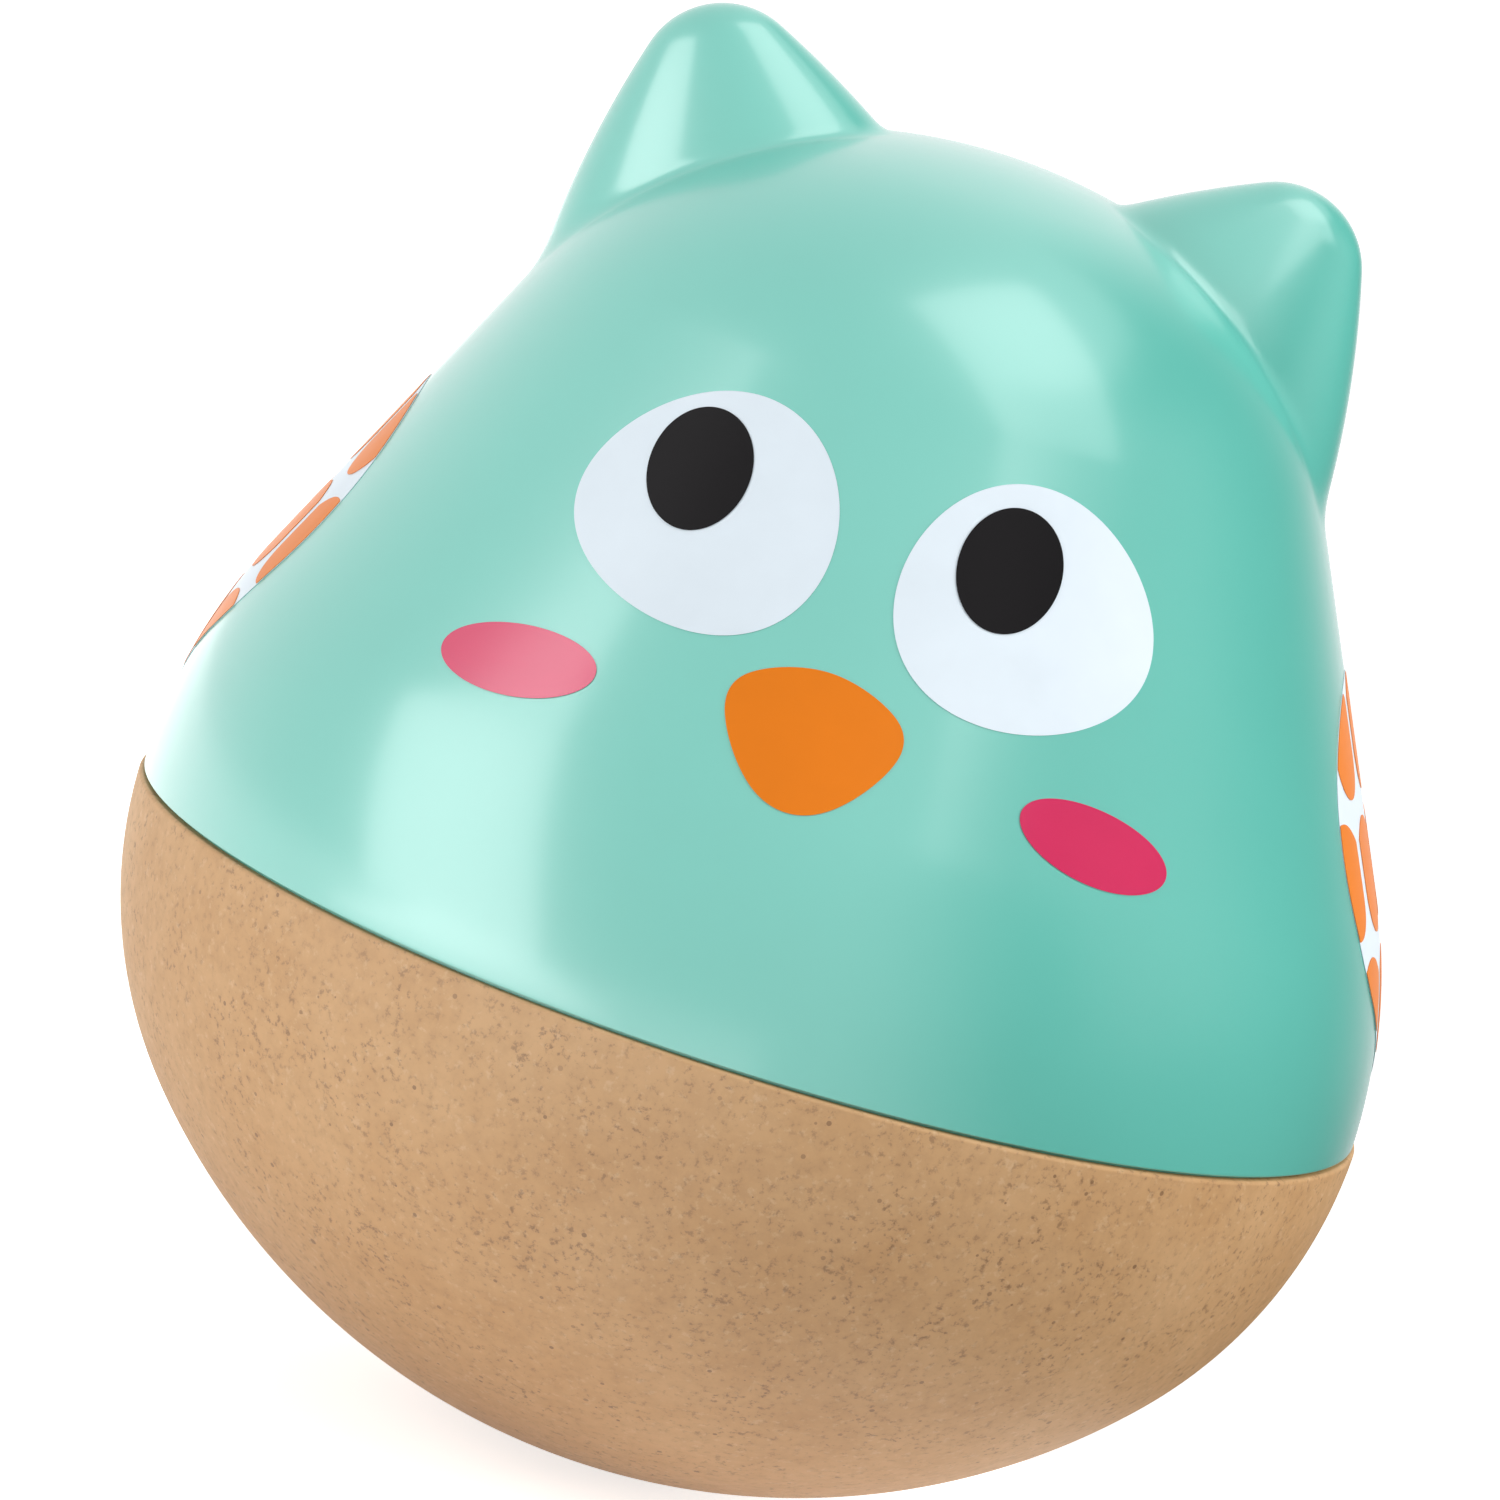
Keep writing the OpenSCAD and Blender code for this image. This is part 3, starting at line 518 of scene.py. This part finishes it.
def earReach(points, d):
    # how far out along its ray each point must go to lie on an ear that is moved out by d
    lean = ear["lean"]
    reach = ear["out"] / math.sin(lean)
    tipZ = earTopZ - ear["tipR"]
    root = np.array([0, 0, tipZ - reach * math.cos(lean)])
    ray = points - root
    side, back, up = np.abs(ray[:, 0]), ray[:, 1], ray[:, 2]
    along = side * math.sin(lean) + up * math.cos(lean)
    off = np.hypot(side * math.cos(lean) - up * math.sin(lean), back / ear["flat"])
    size = np.hypot(along, off)
    s, c = off / size, along / size
    tip = ear["tipR"] + d
    tipHit = reach * c + np.sqrt(np.maximum(tip * tip - (reach * s) ** 2, 0))
    centre = np.array([0, reach]) - (ear["sideR"] - ear["tipR"]) * way(ear["open"])
    b = centre[0] * s + centre[1] * c
    square = b * b - centre @ centre + (ear["sideR"] + d) ** 2
    sideHit = b + np.sqrt(np.maximum(square, 0))
    touch = np.array([0, reach]) + tip * way(ear["open"])
    hit = np.where(s / np.maximum(c, 1e-9) < touch[0] / touch[1], tipHit, sideHit)
    hit = np.where((c > math.cos(ear["cone"])) & (up > 0), hit, 0)
    return root, hit / size


def raiseEars(mesh):
    # lifts the outer and the inner skin to the ears, with a soft join where they meet the dome
    count = len(mesh.vertices)
    places = np.empty(count * 3)
    mesh.vertices.foreach_get("co", places)
    places = places.reshape(-1, 3)
    sides = np.empty(count)
    mesh.attributes["side"].data.foreach_get("value", sides)
    for mark, d, soft in ((1, 0, ear["fillet"]), (-1, -dome["wall"], ear["inFillet"])):
        chosen = np.isclose(sides, mark, rtol=0, atol=0.01)
        root, ratio = earReach(places[chosen], d)
        ray = places[chosen] - root
        near = np.linalg.norm(ray, axis=1)
        far = near * ratio
        share = np.clip(0.5 + 0.5 * (far - near) / soft, 0, 1)
        length = near * (1 - share) + far * share + soft * share * (1 - share)
        places[chosen] = root + ray * (length / near)[:, None]
    mesh.vertices.foreach_set("co", places.ravel())
    mesh.attributes.remove(mesh.attributes["side"])
    mesh.update()


grooveZ = seamZ + dome["grooveH"]
grooveR = domeR - dome["grooveD"]
edgeMid = (domeR - dome["edge"], grooveZ + dome["edge"])
outStart = math.asin((dome["grooveH"] + dome["edge"]) / dome["flankR"])
outLine = domeLine(0, dome["coarse"], dome["fine"], outStart)
inStart = math.asin(dome["grooveH"] / (dome["flankR"] - dome["wall"]))
inCoarse = dome["inCoarse"] * dome["coarse"]
inLine = domeLine(-dome["wall"], inCoarse, dome["inFine"] * dome["fine"], inStart)
spigotIn = dome["spigotR"] - dome["spigotWall"]
spigotZ = seamZ - dome["spigotL"]
spigotTop = (dome["spigotR"], seamZ - dome["tuck"])
footLine = strung(
    straightLine((spigotIn, seamZ), (spigotIn, spigotZ), 2 * dome["footStep"]),
    straightLine((spigotIn, spigotZ), (dome["spigotR"], spigotZ), dome["footStep"]),
    straightLine((dome["spigotR"], spigotZ), spigotTop, dome["footStep"]),
    straightLine(spigotTop, (grooveR, seamZ), dome["footStep"]),
    straightLine((grooveR, seamZ), (grooveR, grooveZ), dome["grooveStep"]),
    straightLine((grooveR, grooveZ), (edgeMid[0], grooveZ), dome["grooveStep"]),
    arcLine(edgeMid, dome["edge"], -math.pi / 2, 0, dome["edgeStep"]),
)
domeLineAll = np.concatenate([inLine[::-1], footLine, outLine])
domeSides = np.concatenate([-np.ones(len(inLine)), np.zeros(len(footLine)), np.ones(len(outLine))])
domeLineAll[:, 0] = np.maximum(domeLineAll[:, 0], 0)
shell = grow(
    "dome", lineMesh("domeLine", domeLineAll, domeSides), turned,
    {"Rounds": dome["rounds"], "Crowding": dome["crowding"], "Material": mint},
)
raiseEars(shell.data)
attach(shell, "root")
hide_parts("upper_shell")
print("dome:", len(shell.data.polygons), "faces")


# the prints

film = {"lift": 0.02 * mm, "thick": 0.05 * mm, "ring": 0.7 * mm, "count": 144}


def wrapNodes(tree, given, flat):
    # lays flat geometry (across, height over the seam, thickness) on the dome's side
    place = put(tree, "GeometryNodeInputPosition", {})[0]
    spot = put(tree, "ShaderNodeSeparateXYZ", {0: place})
    out = calc(tree, "ADD", calc(tree, "ADD", spot["Z"], given["Lift"]), given["Flank Radius"])
    rise = calc(tree, "MULTIPLY", spot["Y"], spot["Y"])
    square = calc(tree, "SUBTRACT", calc(tree, "MULTIPLY", out, out), rise)
    flank = calc(tree, "SQRT", square)
    cosine = calc(tree, "COSINE", given["Flank Lean"])
    sine = calc(tree, "SINE", given["Flank Lean"])
    bend = calc(tree, "MULTIPLY", out, sine)
    slope = calc(tree, "TANGENT", given["Flank Lean"])
    fall = calc(tree, "MULTIPLY", calc(tree, "SUBTRACT", spot["Y"], bend), slope)
    straight = calc(tree, "SUBTRACT", calc(tree, "MULTIPLY", out, cosine), fall)
    above = calc(tree, "GREATER_THAN", spot["Y"], bend)
    side = put(tree, "ShaderNodeMix", {"Factor": above, 2: flank, 3: straight}, data_type="FLOAT")[0]
    radius = calc(tree, "ADD", calc(tree, "SUBTRACT", given["Body Radius"], given["Flank Radius"]), side)
    across = calc(tree, "MULTIPLY", spot["X"], spot["X"])
    square = calc(tree, "SUBTRACT", calc(tree, "MULTIPLY", radius, radius), across)
    front = calc(tree, "MULTIPLY", calc(tree, "SQRT", square), -1)
    height = calc(tree, "ADD", spot["Y"], given["Seam"])
    target = put(tree, "ShaderNodeCombineXYZ", {0: spot["X"], 1: front, 2: height})[0]
    axis = {"Vector": target, "Angle": given["Turn"]}
    turnedTo = put(tree, "ShaderNodeVectorRotate", axis, rotation_type="Z_AXIS")[0]
    return put(tree, "GeometryNodeSetPosition", {"Geometry": flat, "Position": turnedTo})[0]


def slabNodes(tree, flat, thick):
    # makes a closed slab from flat faces
    upward = put(tree, "ShaderNodeCombineXYZ", {2: 1.0})[0]
    raised = {"Mesh": flat, "Offset": upward, "Offset Scale": thick, "Individual": False}
    top = put(tree, "GeometryNodeExtrudeMesh", raised, mode="FACES")[0]
    under = put(tree, "GeometryNodeFlipFaces", {0: flat})[0]
    closed = {"Geometry": join(tree, top, under), "Distance": weld}
    return put(tree, "GeometryNodeMergeByDistance", closed)[0]


filmInputs = {
    "Film": "Float", "Lift": "Float", "Turn": "Float", "Seam": "Float", "Body Radius": "Float",
    "Flank Radius": "Float", "Flank Lean": "Float", "Material": "Material",
}
filmValues = {
    "Film": film["thick"], "Seam": seamZ, "Body Radius": domeR, "Flank Radius": dome["flankR"],
    "Flank Lean": dome["flankLean"],
}


def filmTree():
    tree, given = newTree("printedFilm", filmInputs)
    slab = slabNodes(tree, given["Geometry"], given["Film"])
    endTree(tree, wrapNodes(tree, given, slab), given["Material"])
    return tree


def patchMesh(name, outline, ring):
    # fills an outline with rings that close on its middle
    middle = outline.mean(axis=0)
    reach = np.linalg.norm(outline - middle, axis=1).max()
    rings = max(3, math.ceil(reach / ring))
    count = len(outline)
    points = [middle + (outline - middle) * (1 - k / rings) for k in range(rings)]
    points = np.concatenate(points + [middle[None]])
    faces = []
    for k in range(rings - 1):
        for i in range(count):
            j = (i + 1) % count
            faces.append((k * count + i, k * count + j, (k + 1) * count + j, (k + 1) * count + i))
    last = (rings - 1) * count
    faces += [(last + i, last + (i + 1) % count, last + count) for i in range(count)]
    mesh = bpy.data.meshes.new(name)
    mesh.from_pydata([(x, y, 0) for x, y in points], [], faces)
    return mesh


filmRule = filmTree()


def printFilm(name, node, outline, layer, turn, colour):
    mesh = patchMesh(name + "Flat", outline, film["ring"])
    lift = film["lift"] + layer * (film["thick"] + film["lift"])
    values = {**filmValues, "Lift": lift, "Turn": turn, "Material": prints[colour]}
    piece = grow(name, mesh, filmRule, values)
    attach(piece, "root")
    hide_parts(node)


eye = {"at": (13.96, 40.58), "width": 22.2, "height": 18.6, "tilt": math.radians(-18.8), "taper": -0.17}
pupil = {
    "left": {"at": (-15.55, 43.65), "width": 8.45, "height": 10.0, "tilt": math.radians(-16)},
    "right": {"at": (11.3, 43.7), "width": 8.65, "height": 9.95, "tilt": math.radians(11)},
}
beak = {"circles": [(0, 26.52, 5.57), (-5.25, 28.1, 2.23), (5.25, 28.15, 2.23)], "soft": 0.56}
cheek = {"at": (24.8, 24.65), "width": 13.4, "height": 5.5, "tilt": math.radians(-13.3)}
for name, sign in (("left", -1), ("right", 1)):
    at = np.array(eye["at"]) * mm
    outline = oval(at, eye["width"] * mm, eye["height"] * mm, eye["tilt"], eye["taper"], film["count"])
    printFilm("eye_" + name, "eye_white_" + name, mirrored(outline, sign), 0, 0, "white")
    dot = pupil[name]
    at = np.array(dot["at"]) * mm
    outline = oval(at, dot["width"] * mm, dot["height"] * mm, dot["tilt"], 0, film["count"])
    printFilm("pupilDot_" + name, "pupil_" + name, outline, 1, 0, "black")
    at = np.array(cheek["at"]) * mm
    outline = oval(at, cheek["width"] * mm, cheek["height"] * mm, cheek["tilt"], 0, film["count"])
    printFilm("cheekSpot_" + name, "cheek_" + name, mirrored(outline, sign), 0, 0, "pink")
circles = [(x * mm, y * mm, r * mm) for x, y, r in beak["circles"]]
printFilm("beakMark", "beak", roundHull(circles, beak["soft"] * mm, film["count"]), 0, 0, "orange")
print("face printed")


# the wings

wing = {
    "r": 14.2 * mm, "up": 25.1 * mm, "tipR": 3.5 * mm, "tipBack": 3 * mm, "tipUp": 9.1 * mm,
    "featherW": 7 * mm, "featherL": 7.6 * mm, "peak": 1.6 * mm, "gap": 3.2 * mm,
    "rows": 3, "columns": 5, "fine": 25, "cutScale": 1000, "soft": 0.01 * mm,
}


def featherTree():
    # rows of round-ended feathers, every other row half a feather over, cut to the outline that comes in
    sizes = ("Feather Width", "Feather Length", "Peak", "Across", "Down", "Top", "Sign")
    counts = ("Rows", "Columns", "Fine")
    inputs = {**{key: "Float" for key in sizes}, **{key: "Int" for key in counts}, **filmInputs}
    tree, given = newTree("featherRows", inputs)
    index = put(tree, "GeometryNodeInputIndex", {})[0]
    row = calc(tree, "FLOOR", calc(tree, "DIVIDE", index, given["Columns"]))
    middle = calc(tree, "DIVIDE", calc(tree, "SUBTRACT", given["Columns"], 1), 2)
    column = calc(tree, "SUBTRACT", calc(tree, "MODULO", index, given["Columns"]), middle)
    shift = calc(tree, "ADD", column, calc(tree, "MULTIPLY", calc(tree, "MODULO", row, 2), 0.5))
    x = calc(tree, "MULTIPLY", calc(tree, "MULTIPLY", shift, given["Across"]), given["Sign"])
    y = calc(tree, "SUBTRACT", given["Top"], calc(tree, "MULTIPLY", row, given["Down"]))
    spots = {
        "Count": calc(tree, "MULTIPLY", given["Rows"], given["Columns"]),
        "Position": put(tree, "ShaderNodeCombineXYZ", {0: x, 1: y})[0],
    }
    spots = put(tree, "GeometryNodePoints", spots)[0]
    # one feather: straight sides, a round lower end and a low hump on top
    grid = {"Size X": 1.0, "Size Y": 1.0, "Vertices X": given["Fine"], "Vertices Y": given["Fine"]}
    grid = put(tree, "GeometryNodeMeshGrid", grid)[0]
    spot = put(tree, "ShaderNodeSeparateXYZ", {0: put(tree, "GeometryNodeInputPosition", {})[0]})
    angle = calc(tree, "MULTIPLY", spot["X"], math.pi)
    half = calc(tree, "DIVIDE", given["Feather Width"], 2)
    rounded = calc(tree, "COSINE", angle)
    x = calc(tree, "MULTIPLY", calc(tree, "MULTIPLY", half, calc(tree, "SINE", angle)), given["Sign"])
    straight = calc(tree, "SUBTRACT", given["Feather Length"], half)
    low = calc(tree, "MULTIPLY", calc(tree, "ADD", straight, calc(tree, "MULTIPLY", half, rounded)), -1)
    high = calc(tree, "MULTIPLY", given["Peak"], calc(tree, "MULTIPLY", rounded, rounded))
    up = calc(tree, "ADD", spot["Y"], 0.5)
    y = put(tree, "ShaderNodeMix", {"Factor": up, 2: low, 3: high}, data_type="FLOAT")[0]
    shape = put(tree, "ShaderNodeCombineXYZ", {0: x, 1: y})[0]
    feather = put(tree, "GeometryNodeSetPosition", {"Geometry": grid, "Position": shape})[0]
    rows = put(tree, "GeometryNodeInstanceOnPoints", {"Points": spots, "Instance": feather})[0]
    rows = put(tree, "GeometryNodeRealizeInstances", {0: rows})[0]
    other = calc(tree, "LESS_THAN", given["Sign"], 0)
    rows = put(tree, "GeometryNodeFlipFaces", {0: rows, "Selection": other})[0]
    slabs = slabNodes(tree, rows, given["Film"])
    # the outline as a thicker block, which the feathers are cut to
    lower = put(tree, "ShaderNodeCombineXYZ", {2: calc(tree, "MULTIPLY", given["Film"], -1)})[0]
    outline = put(tree, "GeometryNodeTransform", {"Geometry": given["Geometry"], "Translation": lower})[0]
    block = slabNodes(tree, outline, calc(tree, "MULTIPLY", given["Film"], 3))
    # the cut runs at a larger size, where thin films are no trouble
    cut = tree.nodes.new("GeometryNodeMeshBoolean")
    cut.operation = "INTERSECT"
    for part in (slabs, block):
        large = {"Geometry": part, "Scale": [wing["cutScale"]] * 3}
        tree.links.new(put(tree, "GeometryNodeTransform", large)[0], cut.inputs[1])
    small = {"Geometry": cut.outputs[0], "Scale": [1 / wing["cutScale"]] * 3}
    small = put(tree, "GeometryNodeTransform", small)[0]
    endTree(tree, wrapNodes(tree, given, small), given["Material"])
    return tree


featherRule = featherTree()
wingCircles = [(0, wing["up"], wing["r"]), (wing["tipBack"], wing["tipUp"], wing["tipR"])]
wingOutline = roundHull(wingCircles, wing["soft"], film["count"])
for name, sign in (("left", -1), ("right", 1)):
    outline = mirrored(wingOutline, sign)
    printFilm("wing_" + name, f"wing_{name}_white", outline, 0, sign * math.pi / 2, "white")
    values = {
        **filmValues, "Lift": 2 * film["lift"] + film["thick"], "Turn": sign * math.pi / 2,
        "Sign": float(sign), "Feather Width": wing["featherW"], "Feather Length": wing["featherL"],
        "Peak": wing["peak"], "Across": wing["featherW"] + wing["gap"] / 2,
        "Down": wing["featherL"] + wing["gap"],
        "Top": wing["up"] + wing["r"] - wing["gap"] / 2, "Rows": wing["rows"], "Columns": wing["columns"],
        "Fine": wing["fine"], "Material": prints["orange"],
    }
    rows = grow("feathers_" + name, patchMesh("wingCut", outline, wing["r"] / 3), featherRule, values)
    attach(rows, "root")
    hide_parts(f"wing_{name}_orange")
    print("feathers:", len(rows.data.polygons), "faces")


# camera, light and floor

camera = {
    "lens": 216, "distance": 779.79 * mm, "elevation": math.radians(9.311), "roll": math.radians(17.835),
    "target": (-5.282 * mm, 0, 63.07 * mm), "turn": math.radians(1.2), "sensor": 36,
}
rise = camera["elevation"]
c, s = math.cos(camera["roll"]), math.sin(camera["roll"])
right = Vector((1, 0, 0))
up = Vector((0, math.sin(rise), math.cos(rise)))
back = Vector((0, -math.cos(rise), math.sin(rise)))
axes = Matrix((c * right + s * up, c * up - s * right, back)).transposed().to_4x4()
place = Matrix.Translation(Vector(camera["target"]) + camera["distance"] * back)
cameraData = bpy.data.cameras.new("photoCamera")
cameraData.lens = camera["lens"]
cameraData.sensor_width = camera["sensor"]
photoCamera = addObject("photoCamera", cameraData)
photoCamera.matrix_world = Matrix.Rotation(camera["turn"], 4, "Z") @ place @ axes
bpy.context.scene.camera = photoCamera

lamps = {
    "leftBox": {"at": (-0.7812, -0.4892, 0.2342), "size": (0.58, 0.865), "power": 3.6,
                "roll": math.radians(28)},
    "overBox": {"at": (0.337, -0.289, 1.009), "size": (0.6, 0.97), "power": 2.9},
    "rightFill": {"at": (1.05, -0.1, 0.6), "size": (0.8, 0.8), "power": 11.6, "glossy": False},
    "backFill": {"at": (-0.35, 1.0, 0.7), "size": (0.8, 0.8), "power": 4.5, "glossy": False},
    "tableGlint": {"at": (-0.45, -0.44, 0.003), "size": (0.66, 0.34), "power": 1.8,
                   "flat": math.radians(44)},
}
lampAim = Vector((0, 0, 0.06))
for name, lamp in lamps.items():
    light = bpy.data.lights.new(name, "AREA")
    light.shape = "RECTANGLE"
    light.size, light.size_y = lamp["size"]
    light.energy = lamp["power"]
    box = addObject(name, light)
    box.visible_glossy = lamp.get("glossy", True)
    box.location = lamp["at"]
    aim = lampAim - Vector(lamp["at"])
    facing = aim.to_track_quat("-Z", "Y").to_matrix() @ Matrix.Rotation(lamp.get("roll", 0.0), 3, "Z")
    box.rotation_euler = facing.to_euler()
    if "flat" in lamp:  # lies on the table and shines up
        box.rotation_euler = (math.pi, 0, lamp["flat"])
        box.visible_camera = False


def seenRays(tree):
    # 1 for the rays of the camera, of gloss and through clear pieces, which see a white studio
    rays = put(tree, "ShaderNodeLightPath", {})
    seen = calc(tree, "ADD", rays["Is Camera Ray"], rays["Is Glossy Ray"])
    return calc(tree, "ADD", seen, rays["Is Transmission Ray"])


def stageMaterial(name, look):
    # dull paint whose glow is wired up by its piece
    material, tree, shader, where = newMaterial(name)
    shader["Base Color"].default_value = look["colour"]
    shader["Roughness"].default_value = look["rough"]
    shader["Specular IOR Level"].default_value = 0.0
    shader["Emission Color"].default_value = (1, 1, 1, 1)
    return material, tree, shader["Emission Strength"], where


sky = {"strength": 0.35, "seen": 1.0}
world = bpy.data.worlds.new("studio")
world.use_nodes = True
bpy.context.scene.world = world
tree = world.node_tree
strength = span(tree, seenRays(tree), sky["strength"], sky["seen"])
wire(tree, strength, tree.nodes["Background"].inputs["Strength"])
tree.nodes["Background"].inputs["Color"].default_value = (1, 1, 1, 1)

floorLook = {"size": 12.0, "colour": (0.9, 0.9, 0.9, 1), "rough": 0.9, "glow": 0.72}
material, tree, glow, where = stageMaterial("floorWhite", floorLook)
wire(tree, span(tree, seenRays(tree), 0.0, floorLook["glow"]), glow)
half = floorLook["size"] / 2
mesh = bpy.data.meshes.new("floor")
corners = [(-half, -half, 0), (half, -half, 0), (half, half, 0), (-half, half, 0)]
mesh.from_pydata(corners, [], [(0, 1, 2, 3)])
mesh.materials.append(material)
floor = addObject("floor", mesh)

# a dark card round the right side, which keeps the gloss off it
card = {
    "near": 0.06, "away": 1.25, "height": 2.4, "from": math.radians(8), "to": math.radians(182), "steps": 36,
    "fadeFrom": math.radians(16), "darkFrom": math.radians(57),
    "lightFrom": math.radians(125), "clearUp": 1.7, "lift": 0.001, "least": 0.02,
    "colour": (0.01, 0.01, 0.01, 1), "rough": 0.5,
}
material, tree, glow, where = stageMaterial("cardDark", card)
spot = put(tree, "ShaderNodeSeparateXYZ", {0: where})
turn = calc(tree, "ARCTAN2", spot["X"], calc(tree, "MULTIPLY", spot["Y"], -1))
turn = calc(tree, "ABSOLUTE", turn)
front = span(tree, turn, 1.0, card["least"], card["fadeFrom"], card["darkFrom"], "SMOOTHSTEP")
upper = span(tree, spot["Z"], 0.0, 1.0, card["clearUp"], card["height"], "SMOOTHSTEP")
behind = span(tree, turn, 0.0, 1.0, card["lightFrom"], math.pi, "SMOOTHSTEP")
wire(tree, calc(tree, "MAXIMUM", calc(tree, "MAXIMUM", front, upper), behind), glow)
turns = np.linspace(card["from"], card["to"], card["steps"] + 1)
rings = [(card["near"], card["lift"]), (card["away"], card["lift"]), (card["away"], card["height"])]
points = [(r * math.sin(t), -r * math.cos(t), z) for r, z in rings for t in turns]
wide = card["steps"] + 1
starts = [k + i for k in (0, wide) for i in range(card["steps"])]
faces = [(i, i + 1, i + wide + 1, i + wide) for i in starts]
mesh = bpy.data.meshes.new("sideCard")
mesh.from_pydata(points, [], faces)
mesh.materials.append(material)
sideCard = addObject("sideCard", mesh)
sideCard.visible_camera = False
sideCard.visible_diffuse = False

bpy.context.scene.view_settings.view_transform = "Standard"
print("camera, light and floor set")
